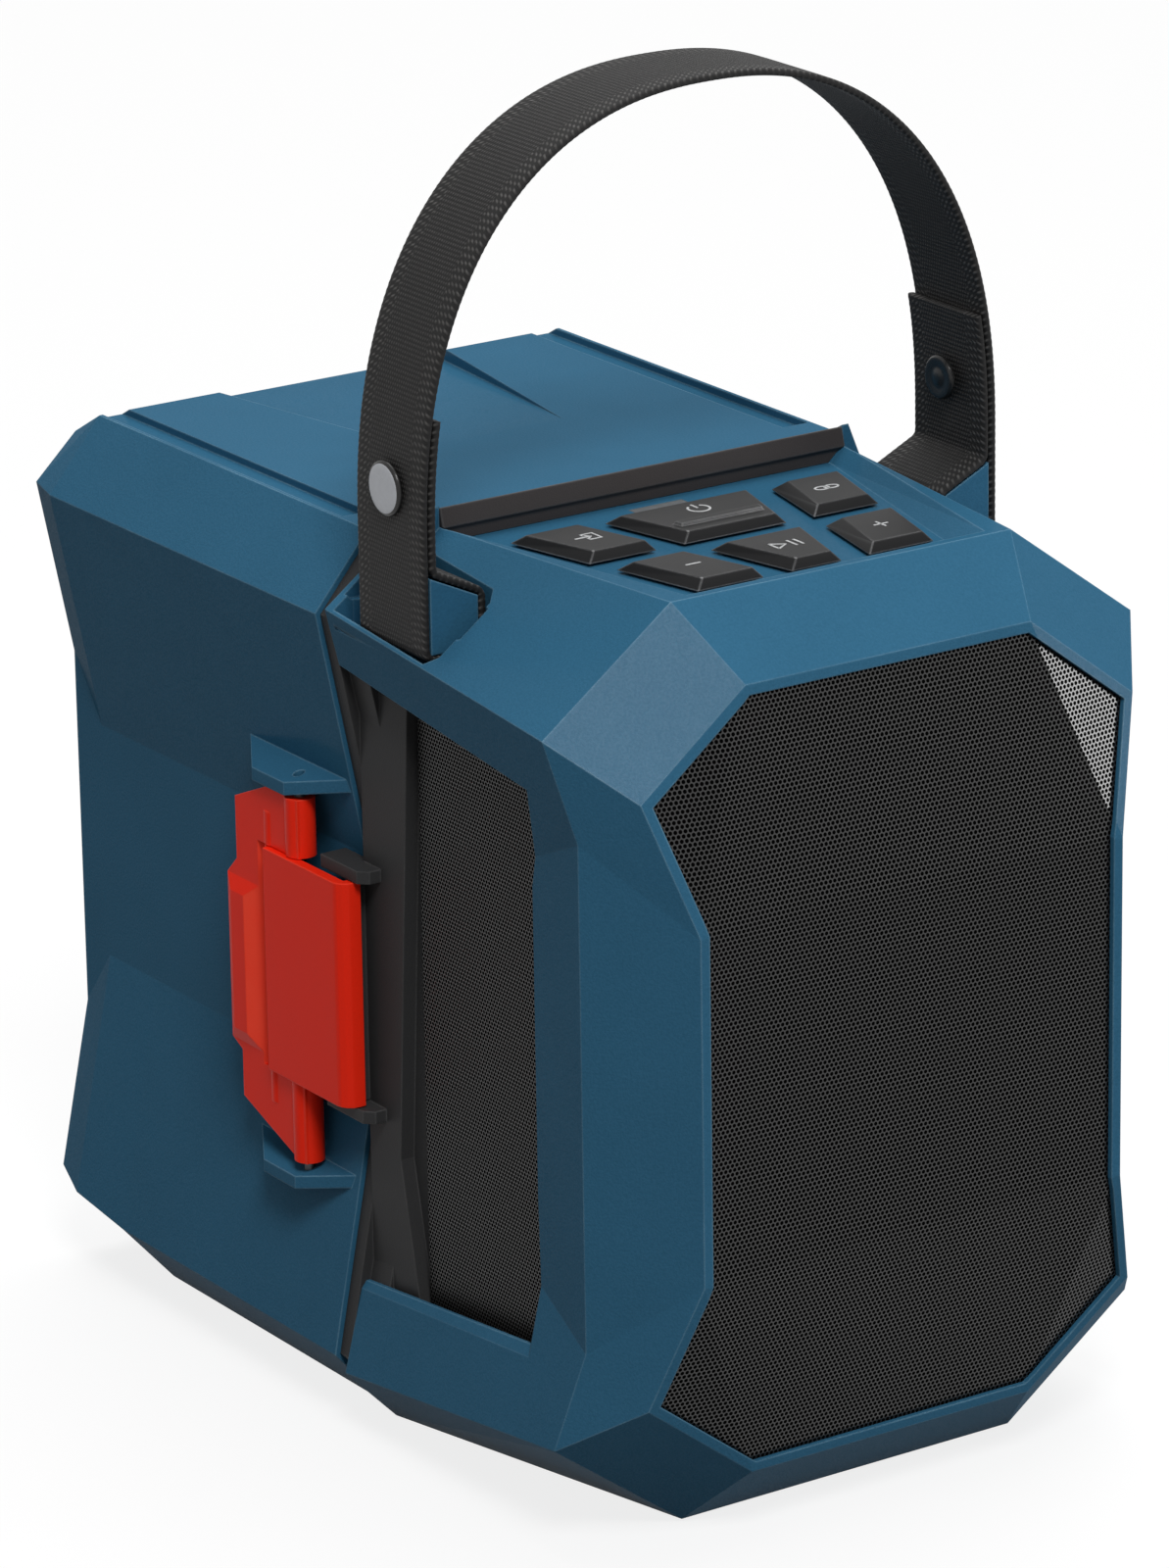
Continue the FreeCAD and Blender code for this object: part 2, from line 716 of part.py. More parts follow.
def key_solid(name, spec):
    """A pyramid key with a stem that passes through the keypad floor."""
    base = key_outline(spec)
    low = KEY_FLOOR + KEY_TRAVEL + KEY_REST
    top_z = KEY_FLOOR + KEY_HEIGHT
    top = [
        (base[0][0] + KEY_SKIRT_SIDE, base[0][1] + KEY_SKIRT_FRONT),
        (base[1][0] - KEY_SKIRT_SIDE, base[1][1] + KEY_SKIRT_FRONT),
        (base[2][0] - KEY_SKIRT_SIDE, base[2][1] - KEY_SKIRT_REAR),
        (base[3][0] + KEY_SKIRT_SIDE, base[3][1] - KEY_SKIRT_REAR),
    ]
    cap = ruled_solid([
        [at(x, back, low) for x, back in base],
        [at(x, back, top_z) for x, back in top],
    ])
    stem_low = KEY_FLOOR - WALL - KEY_TRAVEL
    key = cap.fuse(stem_box(spec, 0, stem_low, low + WALL / 3))
    if name == "key_power":
        near = spec[0] + 2 * POWER_BAR_DEPTH
        far = near + POWER_BAR_DEPTH
        wide = POWER_BAR_HALF + KEY_FAN * POWER_BAR_DEPTH
        outline = [(-POWER_BAR_HALF, near), (POWER_BAR_HALF, near), (wide, far), (-wide, far)]
        key = key.fuse(top_prism(outline, top_z - 1, top_z + POWER_BAR_RISE))
    return key.removeSplitter()


def light_box(gap):
    return box(-LIGHT_HALF - gap, LIGHT_HALF + gap, LIGHT_FRONT - gap,
               LIGHT_FRONT + LIGHT_DEPTH + gap, KEY_FLOOR - WALL, KEY_FLOOR + gap)


def pad_block(gap):
    """The rubber pad that the housing stands on, in its shallow recess."""
    return box(-PAD_HALF - gap, PAD_HALF + gap, PAD_FRONT - gap, PAD_REAR + gap,
               -PAD_PROUD, PAD_DEEP)


def screw_points():
    """The four housing screws as (x, z) pairs."""
    low = COVER_SOLE + SCREW_INBOARD
    high = KEY_FLOOR - SCREW_INBOARD
    return [(side * SCREW_SIDE, z) for side in (-1, 1) for z in (low, high)]


def screw_bosses(gap):
    """Blocks in the front shell's floor and roof that take the screws."""
    shapes = []
    for x, z in screw_points():
        reach = SCREW_BOSS + gap
        low = z - reach if z > MID else WALL / 2
        high = KEY_FLOOR - WALL / 2 if z > MID else z + reach
        shapes.append(box(x - reach, x + reach, FLANGE_BACK - SCREW_LONG - 2 - gap,
                          SHELL_BACK, low, high))
    return shapes


def screw_shanks(gap):
    shapes = []
    for x, z in screw_points():
        shapes.append(rod(x, z, SCREW_RADIUS + gap, FLANGE_BACK - SCREW_LONG - gap, FLANGE_BACK))
    return shapes


def screw_heads(gap):
    shapes = []
    for x, z in screw_points():
        shapes.append(rod(x, z, SCREW_HEAD + gap, FLANGE_BACK - SCREW_HEAD_DEEP, FLANGE_BACK))
    return shapes


def front_shell():
    outer = front_form(0)
    shell = outer.cut(chamber(WALL))
    shell = shell.cut(front_prism(rim_outline(RIM_LAND), -WALL, RIM_TOP_BACK + 3 * WALL))
    shell = shell.fuse(both_sides(pocket_tub(0)).common(outer))
    for boss in screw_bosses(0):
        shell = shell.fuse(boss)
    shell = shell.fuse(saddle())
    shell = shell.cut(trough_form(0))
    shell = shell.cut(shoulder_slope_cutter())
    shell = shell.cut(both_sides(strap_pocket()))
    shell = shell.cut(both_sides(bar_block(FIT_GAP)))
    shell = shell.cut(both_sides(window_cutter()))
    for spec in key_layout().values():
        shell = shell.cut(stem_box(spec, SLIDE_GAP, KEY_FLOOR - 3 * WALL, KEY_FLOOR + 1))
    shell = shell.cut(light_box(FIT_GAP))
    shell = shell.cut(pad_block(FIT_GAP))
    for shank in screw_shanks(PIN_GAP):
        shell = shell.cut(shank)
    return shell.removeSplitter()


def front_grille():
    """The mesh panel, bent to follow the front facets inside the rim."""
    plan = front_prism(rim_outline(RIM_LAND + FIT_GAP), 0, BROW_BACK)
    outer = moved_back(front_form(0), GRILLE_RECESS)
    inner = moved_back(front_form(0), GRILLE_RECESS + MESH_THICK)
    return outer.common(plan).cut(inner).removeSplitter()


def baffle():
    """The board behind the mesh that carries the woofer."""
    plan = front_prism(rim_outline(RIM_LAND - BAFFLE_LAP), 0, BROW_BACK)
    room = chamber(WALL).common(moved_back(front_form(0), GRILLE_RECESS + MESH_THICK))
    board = room.common(plan).cut(moved_back(room, BAFFLE_THICK))
    return board.cut(rod(0, MID, WOOFER_OPENING, 0, BROW_BACK)).removeSplitter()


def faceted_round(profile, spin):
    """A many-sided round on an axis along the depth, from its (radius, back) pairs."""
    rings = []
    for radius, back in profile:
        turns = [2 * math.pi * i / spin for i in range(spin)]
        rings.append([at(radius * math.sin(t), back, MID + radius * math.cos(t)) for t in turns])
    return ruled_solid(rings)


def woofer_parts():
    """The basket, cone and magnet, each round the woofer's axis."""
    front = BAFFLE_REAR
    rear = front + WOOFER_DEPTH
    seat = front + WOOFER_FLANGE
    basket = faceted_round([(WOOFER_RADIUS, front), (WOOFER_RADIUS, seat)], FACETS)
    basket = basket.fuse(faceted_round([(WOOFER_RADIUS, seat), (MAGNET_RADIUS, rear)], FACETS))
    hollow = [(WOOFER_OPENING, front), (WOOFER_OPENING, seat), (CONE_NECK, rear)]
    lip = WOOFER_OPENING - SLIDE_GAP
    roll = lip - 2 * WOOFER_FLANGE
    neck = CONE_NECK / 2
    cone = [(lip, front), (roll, front + CONE_THICK), (neck, rear - WOOFER_DEPTH / 2)]
    dish = [(radius - CONE_THICK, back - CONE_THICK) for radius, back in cone]
    magnet = [(MAGNET_RADIUS, rear), (MAGNET_RADIUS, rear + MAGNET_THICK)]
    return {
        "woofer_frame": basket.cut(faceted_round(hollow, FACETS)),
        "woofer_cone": faceted_round(cone, FACETS).cut(faceted_round(dish, FACETS)),
        "woofer_magnet": faceted_round(magnet, FACETS),
    }


def radiator_hole():
    """A passive radiator's round opening in a cheek plate."""
    centre = at(CHEEK_INNER - WALL, RADIATOR_BACK, MID)
    return Part.makeCylinder(RADIATOR_RADIUS, 3 * WALL, centre, ACROSS)


def side_radiator():
    """A weighted rubber disc, fixed inside a cheek plate."""
    reach = RADIATOR_RADIUS + RADIATOR_LAP
    outline = []
    for i in range(FACETS):
        turn = 2 * math.pi * i / FACETS
        outline.append((RADIATOR_BACK + reach * math.cos(turn), MID + reach * math.sin(turn)))
    disc = side_prism(outline, CHEEK_INNER - WALL, CHEEK_INNER)
    weight = Part.makeCylinder(RADIATOR_RADIUS / 2, WALL / 2,
                               at(CHEEK_INNER, RADIATOR_BACK, MID), ACROSS)
    return disc.fuse(weight)


def side_mesh():
    """The flat mesh in a side window, tucked behind the shell and the pillar."""
    window = window_outline()
    outline = [
        (PILLAR_FRONT, window[0][1] + MESH_LAP),
        (WINDOW_FRONT - MESH_LAP, window[1][1] + MESH_LAP),
        (WINDOW_WAIST_FRONT - MESH_LAP, WINDOW_WAIST_TOP),
        (WINDOW_WAIST_FRONT - MESH_LAP, WINDOW_WAIST_LOW),
        (WINDOW_LOW_FRONT - MESH_LAP, WINDOW_LOW_FRONT - MESH_LAP),
        (PILLAR_FRONT, WINDOW_LOW_REAR - MESH_LAP),
    ]
    return side_prism(outline, CHEEK_OUT, SIDE_MESH_OUT).cut(pillar_block(FIT_GAP))


def pillar_outline(gap):
    """The upright post at the rear of a window, as (back, z) pairs."""
    return [
        (PILLAR_FRONT - gap, WINDOW_TOP_REAR + MESH_LAP),
        (PILLAR_BEND - gap, PILLAR_BEND_HIGH),
        (PILLAR_FRONT - gap, WINDOW_LOW_REAR - MESH_LAP),
        (SHELL_BACK, WINDOW_LOW_REAR - MESH_LAP),
        (SHELL_BACK, WINDOW_TOP_REAR + MESH_LAP),
    ]


def pillar_block(gap):
    return side_prism(pillar_outline(gap), CHEEK_OUT, PILLAR_HALF)


def radiator_hole():
    """A passive radiator's round opening in a cheek plate."""
    centre = at(CHEEK_INNER - WALL, RADIATOR_BACK, MID)
    return Part.makeCylinder(RADIATOR_RADIUS, 3 * WALL, centre, ACROSS)


def side_radiator():
    """A weighted rubber disc, fixed inside a cheek plate."""
    centre = at(CHEEK_INNER, RADIATOR_BACK, MID)
    profile = [
        (0, -WALL),
        (RADIATOR_RADIUS + RADIATOR_LAP, -WALL),
        (RADIATOR_RADIUS + RADIATOR_LAP, 0),
        (RADIATOR_RADIUS / 2, 0),
        (0, WALL / 2),
    ]
    return turned(profile, centre, ACROSS, UP)


def chassis_cheek():
    """A side plate behind the mesh, its post and the web that meets the flange."""
    window = window_outline()
    outline = [
        (SHELL_BACK, window[0][1] + MESH_LAP),
        (WINDOW_FRONT - MESH_LAP, window[1][1] + MESH_LAP),
        (WINDOW_WAIST_FRONT - MESH_LAP, WINDOW_WAIST_TOP),
        (WINDOW_WAIST_FRONT - MESH_LAP, WINDOW_WAIST_LOW),
        (WINDOW_LOW_FRONT - MESH_LAP, WINDOW_LOW_FRONT - MESH_LAP),
        (SHELL_BACK, WINDOW_LOW_REAR - MESH_LAP),
    ]
    plate = side_prism(outline, CHEEK_INNER, CHEEK_OUT).cut(radiator_hole())
    web = box(RIM_WAIST_HALF, PILLAR_HALF, SHELL_BACK - WALL, SHELL_BACK,
              WINDOW_LOW_REAR - MESH_LAP, WINDOW_TOP_REAR + MESH_LAP)
    return plate.fuse(pillar_block(0)).fuse(web)


def cover_half():
    """The rear cover's section, right half from the top down."""
    return [
        (COVER_TOP_HALF, COVER_TOP),
        (HALF, COVER_EDGE_TOP),
        (COVER_WAIST_HALF, COVER_WAIST_TOP),
        (COVER_WAIST_HALF, COVER_WAIST_LOW),
        (HALF, COVER_EDGE_LOW),
        (SOLE_HALF_REAR, COVER_SOLE),
    ]


def latch_catch():
    """The crest behind the bail's lip and the two bosses beside it."""
    crest = HALF - BAIL_THICK - LIP_DEEP - SLIDE_GAP
    front = BAIL_FRONT + LIP_THICK + SLIDE_GAP
    rib = box(-crest, -CHEEK_INNER, front, front + CATCH_THICK, BAIL_LOW, BAIL_HIGH)
    tip = SHELL_BACK - BOSS_REACH
    plan = [
        (BOSS_OUTER - HALF, tip + BOSS_LONG),
        (BOSS_OUTER - HALF, tip + BOSS_BEVEL),
        (BOSS_OUTER - HALF + BOSS_BEVEL, tip),
        (BOSS_INNER - HALF, tip),
        (BOSS_INNER - HALF, tip + BOSS_LONG),
    ]
    for low in (BAIL_HIGH + BOSS_SPACE, BAIL_LOW - BOSS_SPACE - BOSS_THICK):
        rib = rib.fuse(top_prism(plan, low, low + BOSS_THICK))
    return rib


def hinge_bands():
    """The heights of the three knuckles, from the bottom up."""
    third = (HINGE_HIGH - HINGE_LOW) / 3
    gap = SLIDE_GAP / 2
    low = HINGE_LOW + third
    high = HINGE_HIGH - third
    return [(HINGE_LOW, low - gap), (low + gap, high - gap), (high + gap, HINGE_HIGH)]


def chassis_knuckle(z0, z1):
    edge = HINGE_SIDE + HINGE_RADIUS
    inner = HINGE_SIDE - HINGE_RADIUS
    arm = top_prism([
        (SIDE_MESH_OUT, SHELL_BACK - 4 * WALL),
        (PILLAR_HALF + WALL / 2, SHELL_BACK - 4 * WALL),
        (edge, HINGE_BACK - HINGE_RADIUS),
        (edge, HINGE_BACK),
        (inner, HINGE_BACK),
        (inner, SHELL_BACK),
        (SIDE_MESH_OUT, SHELL_BACK),
    ], z0, z1)
    return arm.fuse(post(HINGE_SIDE, HINGE_BACK, HINGE_RADIUS, z0, z1))


def hinge_bore():
    return post(HINGE_SIDE, HINGE_BACK, HINGE_PIN_RADIUS + PIN_GAP, HINGE_LOW - 1, HINGE_HIGH + 1)


def mid_frame():
    """The dark chassis: flange, sleeve, sole tongue, cheeks, catch and hinge lugs."""
    flange = front_prism(ring_outline(cover_half(), FLANGE_INSET), SHELL_BACK, FLANGE_BACK)
    slab = box(-HALF, HALF, SHELL_BACK - SLEEVE_LONG, SHELL_BACK, 0, HEIGHT)
    sleeve = chamber(WALL + FIT_GAP).cut(chamber(2 * WALL + FIT_GAP)).common(slab)
    sleeve = sleeve.cut(both_sides(pocket_tub(FIT_GAP)))
    for boss in screw_bosses(FIT_GAP):
        sleeve = sleeve.cut(boss)
    tongue = box(-TROUGH_TOP_REAR, TROUGH_TOP_REAR, SHELL_BACK, SHELL_BACK + TONGUE_LONG,
                 0, COVER_SOLE - SLIDE_GAP)
    skirt = box(-TROUGH_TOP_REAR, TROUGH_TOP_REAR, SHELL_BACK, FLANGE_BACK, 0,
                COVER_SOLE + 2 * FLANGE_INSET)
    frame = flange.fuse([sleeve, tongue, skirt, both_sides(chassis_cheek()), latch_catch()])
    bands = hinge_bands()
    for band in (bands[0], bands[2]):
        frame = frame.fuse(chassis_knuckle(*band))
    for x in (-AMP_HALF + AMP_POST, AMP_HALF - AMP_POST):
        for z in (MID - AMP_TALL / 2 + AMP_POST, MID + AMP_TALL / 2 - AMP_POST):
            frame = frame.fuse(box(x - AMP_POST, x + AMP_POST, AMP_BACK + BOARD_THICK,
                                   SHELL_BACK, z - AMP_POST, z + AMP_POST))
    frame = frame.cut(hinge_bore())
    frame = frame.cut(seal_ring(FIT_GAP))
    for tool in screw_shanks(PIN_GAP) + screw_heads(FIT_GAP):
        frame = frame.cut(tool)
    return frame.removeSplitter()


def seal_ring(gap):
    """The soft cord in the flange's groove that the cover's edge meets."""
    outer = ring_outline(cover_half(), SEAL_IN - gap)
    inner = ring_outline(cover_half(), SEAL_IN + SEAL_WIDE + gap)
    front = FLANGE_BACK - SEAL_DEEP - gap
    return front_prism(outer, front, FLANGE_BACK).cut(front_prism(inner, front, FLANGE_BACK))


def top_band():
    """The dark wall behind the keypad, with its top falling to the rear."""
    step = HEIGHT + SHOULDER_RISE
    crest = BAND_FOOT + BAND_LEAN
    outline = [
        (BAND_FOOT + BAND_STEP, KEY_FLOOR),
        (BAND_FOOT + BAND_STEP, step - BAND_STEP),
        (BAND_FOOT, step),
        (crest, HEIGHT + BAND_RISE - SLIDE_GAP),
        (SHELL_BACK, slope_height(SHELL_BACK) - SLIDE_GAP),
        (SHELL_BACK, KEY_FLOOR),
    ]
    return side_prism(outline, -HALF, HALF).common(trough_form(FIT_GAP)).removeSplitter()


def cover_form(inset):
    """The rear cover's outer form, solid, with every face drawn in by an inset."""
    side = cover_half()
    side[-1] = (SOLE_HALF_REAR, COVER_SOLE + COVER_KICK)
    side[-2] = (HALF, COVER_EDGE_LOW + COVER_KICK / 2)
    tail = [
        (COVER_TOP_HALF, HEIGHT - TAIL_DROP),
        (TAIL_EDGE_HALF, COVER_EDGE_TOP),
        (COVER_WAIST_HALF, MID + TAIL_WAIST_RISE),
        (COVER_WAIST_HALF, MID - TAIL_WAIST_FALL),
        (TAIL_EDGE_HALF, COVER_EDGE_LOW + COVER_KICK),
        (SOLE_HALF_REAR, TAIL_SOLE),
    ]
    rings = [
        (cover_half(), COVER_BACK),
        (cover_half(), COVER_KICK_BACK),
        (side, COVER_SIDE_BACK),
        (tail, DEPTH - inset),
    ]
    return ruled_solid([[at(x, back, z) for x, z in ring_outline(half, inset)]
                        for half, back in rings])


def cover_ears():
    """The two ears that hold the latch's pin, clipped to their plan."""
    plan = [
        (-COVER_WAIST_HALF, COVER_BACK + WALL / 3),
        (-COVER_WAIST_HALF - EAR_THICK, COVER_BACK + WALL / 3),
        (-HALF, PIN_BACK),
        (-HALF, PIN_BACK + LATCH_CRANK + HUB_RADIUS),
        (-COVER_WAIST_HALF - EAR_THICK, LEVER_REAR),
        (-COVER_WAIST_HALF, LEVER_REAR),
    ]
    root = -COVER_WAIST_HALF - EAR_THICK
    sections = []
    for low in (EAR_TOP, EAR_LOW - EAR_THICK):
        sections.append([
            (-COVER_WAIST_HALF + 1, low + EAR_SLOPE),
            (root, low + EAR_SLOPE),
            (-HALF, low),
            (-HALF, low + EAR_THICK),
            (root, low + EAR_THICK + EAR_SLOPE),
            (-COVER_WAIST_HALF + 1, low + EAR_THICK + EAR_SLOPE),
        ])
    limits = top_prism(plan, 0, HEIGHT)
    ears = []
    for section in sections:
        ears.append(front_prism(section, COVER_BACK, LEVER_REAR + 1).common(limits))
    return ears


def cover_knuckle(z0, z1):
    inner = COVER_WAIST_HALF - 1
    arm = top_prism([
        (inner, HINGE_BACK - HINGE_RADIUS),
        (HINGE_SIDE, HINGE_BACK - HINGE_RADIUS),
        (HINGE_SIDE, HINGE_BACK + HINGE_RADIUS),
        (inner, HINGE_BACK + 2 * HINGE_RADIUS),
    ], z0, z1)
    return arm.fuse(post(HINGE_SIDE, HINGE_BACK, HINGE_RADIUS, z0, z1))


def dish_wedge():
    """The shallow tray in the cover's top that deepens to the rear."""
    slope = DISH_DEEP / (COVER_SIDE_BACK - DISH_FRONT)
    spread = (DISH_HALF_REAR - DISH_HALF_FRONT) / (COVER_SIDE_BACK - DISH_FRONT)
    far = DEPTH + 1
    plan = [
        (-DISH_HALF_FRONT, DISH_FRONT),
        (DISH_HALF_FRONT, DISH_FRONT),
        (DISH_HALF_FRONT + spread * (far - DISH_FRONT), far),
        (-DISH_HALF_FRONT - spread * (far - DISH_FRONT), far),
    ]
    section = [
        (DISH_FRONT, COVER_TOP),
        (far, COVER_TOP - slope * (far - DISH_FRONT)),
        (far, COVER_TOP + DISH_DEEP),
        (DISH_FRONT, COVER_TOP + DISH_DEEP),
    ]
    return side_prism(section, -HALF, HALF).common(top_prism(plan, MID, 2 * HEIGHT))


def door_relief():
    """The corner taken off the cover's edge so that it swings past the flange."""
    reach = HALF - HINGE_SIDE + DOOR_RELIEF / 2
    return top_prism([
        (HALF - reach, COVER_BACK - 1),
        (HALF - reach, COVER_BACK),
        (HALF, COVER_BACK + DOOR_RELIEF),
        (HALF + 1, COVER_BACK + DOOR_RELIEF),
        (HALF + 1, COVER_BACK - 1),
    ], -HEIGHT, 2 * HEIGHT)


def rear_cover():
    outer = cover_form(0)
    cover = outer.fuse(cover_ears())
    room = cover_form(COVER_WALL)
    tray = box(-DISH_HALF_REAR - 2 * WALL, DISH_HALF_REAR + 2 * WALL, DISH_FRONT - WALL, DEPTH,
               COVER_TOP - COVER_WALL - DISH_DEEP, COVER_TOP)
    cover = cover.cut(room.cut(tray))
    cover = cover.fuse(cover_knuckle(*hinge_bands()[1]).cut(room))
    groove = box(GROOVE_OUTER - GROOVE_WIDE, GROOVE_OUTER, GROOVE_START, DEPTH + 1,
                 COVER_TOP - GROOVE_DEEP, COVER_TOP + 1)
    cover = cover.cut([both_sides(groove), dish_wedge(), door_relief(), hinge_bore()])
    pin = post(-PIN_SIDE, PIN_BACK, PIN_RADIUS + PIN_GAP, EAR_LOW - EAR_THICK,
               EAR_TOP + EAR_THICK + EAR_SLOPE)
    return cover.cut(pin).removeSplitter()


def lever_pin():
    top = EAR_TOP + (EAR_THICK + EAR_SLOPE) / 2
    return post(-PIN_SIDE, PIN_BACK, PIN_RADIUS, EAR_LOW - EAR_THICK / 2, top)


def grip_ridge():
    """The raised bar on the lever's face, bevelled at its ends and its rear."""
    front = BAIL_PIN_BACK + PIN_IN + SLIDE_GAP
    rings = []
    for x, bevel in ((LEVER_SET - HALF, 0), (-HALF, GRIP_BEVEL)):
        rear = LEVER_REAR - bevel
        low = GRIP_LOW + bevel
        high = GRIP_HIGH - bevel
        rings.append([at(x, front, low), at(x, rear, low), at(x, rear, high), at(x, front, high)])
    return ruled_solid(rings)


def latch_lever():
    """The wide lever: a plate with two arms, their hubs and a turned-in grip."""
    opening = BAIL_PIN_BACK + PIN_IN + SLIDE_GAP
    gap = SLIDE_GAP
    step = LEVER_REAR - LEVER_STEP
    outline = [
        (LEVER_FRONT, LEVER_HIGH),
        (BAIL_PIN_BACK, LEVER_HIGH),
        (step, LEVER_HIGH - LEVER_CORNER),
        (step, GRIP_HIGH + LEVER_STEP),
        (LEVER_REAR, GRIP_HIGH),
        (LEVER_REAR, GRIP_LOW),
        (step, GRIP_LOW - LEVER_STEP / 2),
        (step, LEVER_LOW + LEVER_CORNER + LEVER_THICK),
        (PIN_BACK, LEVER_LOW),
        (LEVER_FRONT, LEVER_LOW),
        (LEVER_FRONT, BAIL_LOW - gap),
        (opening, BAIL_LOW - gap),
        (opening, BAIL_HIGH + gap),
        (LEVER_FRONT, BAIL_HIGH + gap),
    ]
    face = LEVER_SET - HALF
    lever = side_prism(outline, face, face + LEVER_THICK)
    lug = BAIL_HUB + 2 * WALL
    bands = [(LEVER_LOW, BAIL_LOW - gap), (BAIL_HIGH + gap, LEVER_HIGH)]
    lugs = [(BAIL_LOW - gap - lug, BAIL_LOW - gap), (BAIL_HIGH + gap, BAIL_HIGH + gap + lug)]
    for low, high in bands:
        lever = lever.fuse(post(-PIN_SIDE, PIN_BACK, HUB_RADIUS, low, high))
    for low, high in lugs:
        lever = lever.fuse(post(-PIN_SIDE, BAIL_PIN_BACK, BAIL_HUB, low, high))
    grip = box(face, -HALF + GRIP_DEEP, LEVER_REAR - LEVER_THICK, LEVER_REAR, GRIP_LOW, GRIP_HIGH)
    lever = lever.fuse([grip, grip_ridge()])
    lever = lever.cut(post(-PIN_SIDE, PIN_BACK, PIN_RADIUS + PIN_GAP, 0, HEIGHT))
    ends = (lugs[0][0] + WALL, lugs[1][1] - WALL)
    return lever.cut(post(-PIN_SIDE, BAIL_PIN_BACK, BAIL_PIN_RADIUS + PIN_GAP, *ends))


def bail_pin():
    reach = SLIDE_GAP + BAIL_HUB + WALL - PIN_GAP
    return post(-PIN_SIDE, BAIL_PIN_BACK, BAIL_PIN_RADIUS, BAIL_LOW - reach, BAIL_HIGH + reach)


def latch_bail():
    """The link that draws the cover in, with a lip beside the catch."""
    inner = -HALF + BAIL_THICK
    nose = []
    for turn in (0, math.pi / 8, math.pi / 4, 3 * math.pi / 8, math.pi / 2):
        nose.append((-HALF + BAIL_ROUND * (1 - math.cos(turn)),
                     BAIL_FRONT + BAIL_ROUND * (1 - math.sin(turn))))
    plan = nose + [
        (inner + LIP_DEEP, BAIL_FRONT),
        (inner + LIP_DEEP, BAIL_FRONT + LIP_THICK),
        (inner, BAIL_FRONT + LIP_THICK),
        (inner, BAIL_PIN_BACK),
        (-HALF, BAIL_PIN_BACK),
    ]
    bail = top_prism(plan, BAIL_LOW, BAIL_HIGH)
    bail = bail.fuse(post(-PIN_SIDE, BAIL_PIN_BACK, BAIL_HUB, BAIL_LOW, BAIL_HIGH))
    bore = post(-PIN_SIDE, BAIL_PIN_BACK, BAIL_PIN_RADIUS + PIN_GAP, BAIL_LOW - 1, BAIL_HIGH + 1)
    return bail.cut(bore)


def hinge_pin():
    return post(HINGE_SIDE, HINGE_BACK, HINGE_PIN_RADIUS, HINGE_LOW, HINGE_HIGH)


def arch_points(inset, turn0, turn1, steps):
    """Points on the handle's squarish arch, drawn in by an inset."""
    wide = STRAP_SIDE - inset
    tall = STRAP_HIGH - STRAP_SPRING - inset
    power = 2 / STRAP_SQUARE
    points = []
    for i in range(steps + 1):
        turn = turn0 + (turn1 - turn0) * i / steps
        x = math.copysign(wide * abs(math.cos(turn)) ** power, math.cos(turn))
        z = STRAP_SPRING + tall * math.sin(turn) ** power
        points.append(at(x, STRAP_FRONT, z))
    return points


def band_face(outer, inner):
    """A flat band between two lines of points that run the same way."""
    points = outer + list(reversed(inner)) + outer[:1]
    return Part.Face(Part.makePolygon(points))


def strap():
    """Flat webbing: one arch, and at each end a loop round its block and a tail."""
    deep = Vector(0, STRAP_WIDE, 0)
    arch = band_face(arch_points(0, 0, math.pi, 24), arch_points(STRAP_THICK, 0, math.pi, 24))
    fold = STRAP_THICK + SLIDE_GAP
    rise = (TAIL_HIGH - STRAP_SPRING) / (STRAP_HIGH - STRAP_SPRING - fold)
    turn = math.asin(rise ** (STRAP_SQUARE / 2))
    tail = band_face(arch_points(fold, 0, turn, 5), arch_points(fold + STRAP_THICK, 0, turn, 5))
    loop = bar_face(SLIDE_GAP + STRAP_THICK).cut(bar_face(SLIDE_GAP))
    loop.translate(Vector(0, STRAP_FRONT, 0))
    end = tail.extrude(deep).fuse(loop.extrude(deep))
    for side, low in ((STRAP_SIDE, BAR_HIGH), (STRAP_SIDE - fold, BAR_HIGH + STRAP_THICK)):
        end = end.fuse(box(side - STRAP_THICK, side, STRAP_FRONT, STRAP_FRONT + STRAP_WIDE,
                           low, STRAP_SPRING))
    end = end.cut(snap_rod(SNAP_SHANK + SLIDE_GAP))
    whole = arch.extrude(deep).cut(both_sides(snap_rod(SNAP_SHANK + SLIDE_GAP)))
    return whole.fuse([end, mirrored(end)]).removeSplitter()


def snap_rod(radius):
    """A short axle through both layers of webbing."""
    start = at(HALF - 5 * STRAP_THICK, STRAP_FRONT + STRAP_WIDE / 2, SNAP_HIGH)
    return Part.makeCylinder(radius, 5 * STRAP_THICK, start, ACROSS)


def snap():
    """A press stud: cap outside, shank through the webbing and button inside."""
    middle = STRAP_FRONT + STRAP_WIDE / 2
    cap_in = STRAP_SIDE + SLIDE_GAP
    button = STRAP_SIDE - 3 * STRAP_THICK - 2 * SLIDE_GAP
    cap = Part.makeCylinder(SNAP_RADIUS, HALF - cap_in, at(cap_in, middle, SNAP_HIGH), ACROSS)
    shank = Part.makeCylinder(SNAP_SHANK, cap_in - button, at(button, middle, SNAP_HIGH), ACROSS)
    back = Part.makeCylinder(SNAP_RADIUS - SNAP_THICK, SNAP_THICK,
                             at(button - SNAP_THICK, middle, SNAP_HIGH), ACROSS)
    return cap.fuse([shank, back])


def keypad_half():
    """Half the width under the keypad that its membrane and board take."""
    return trough_foot(FRONT_ROW_BACK + ROW_STEP) - KEY_EDGE


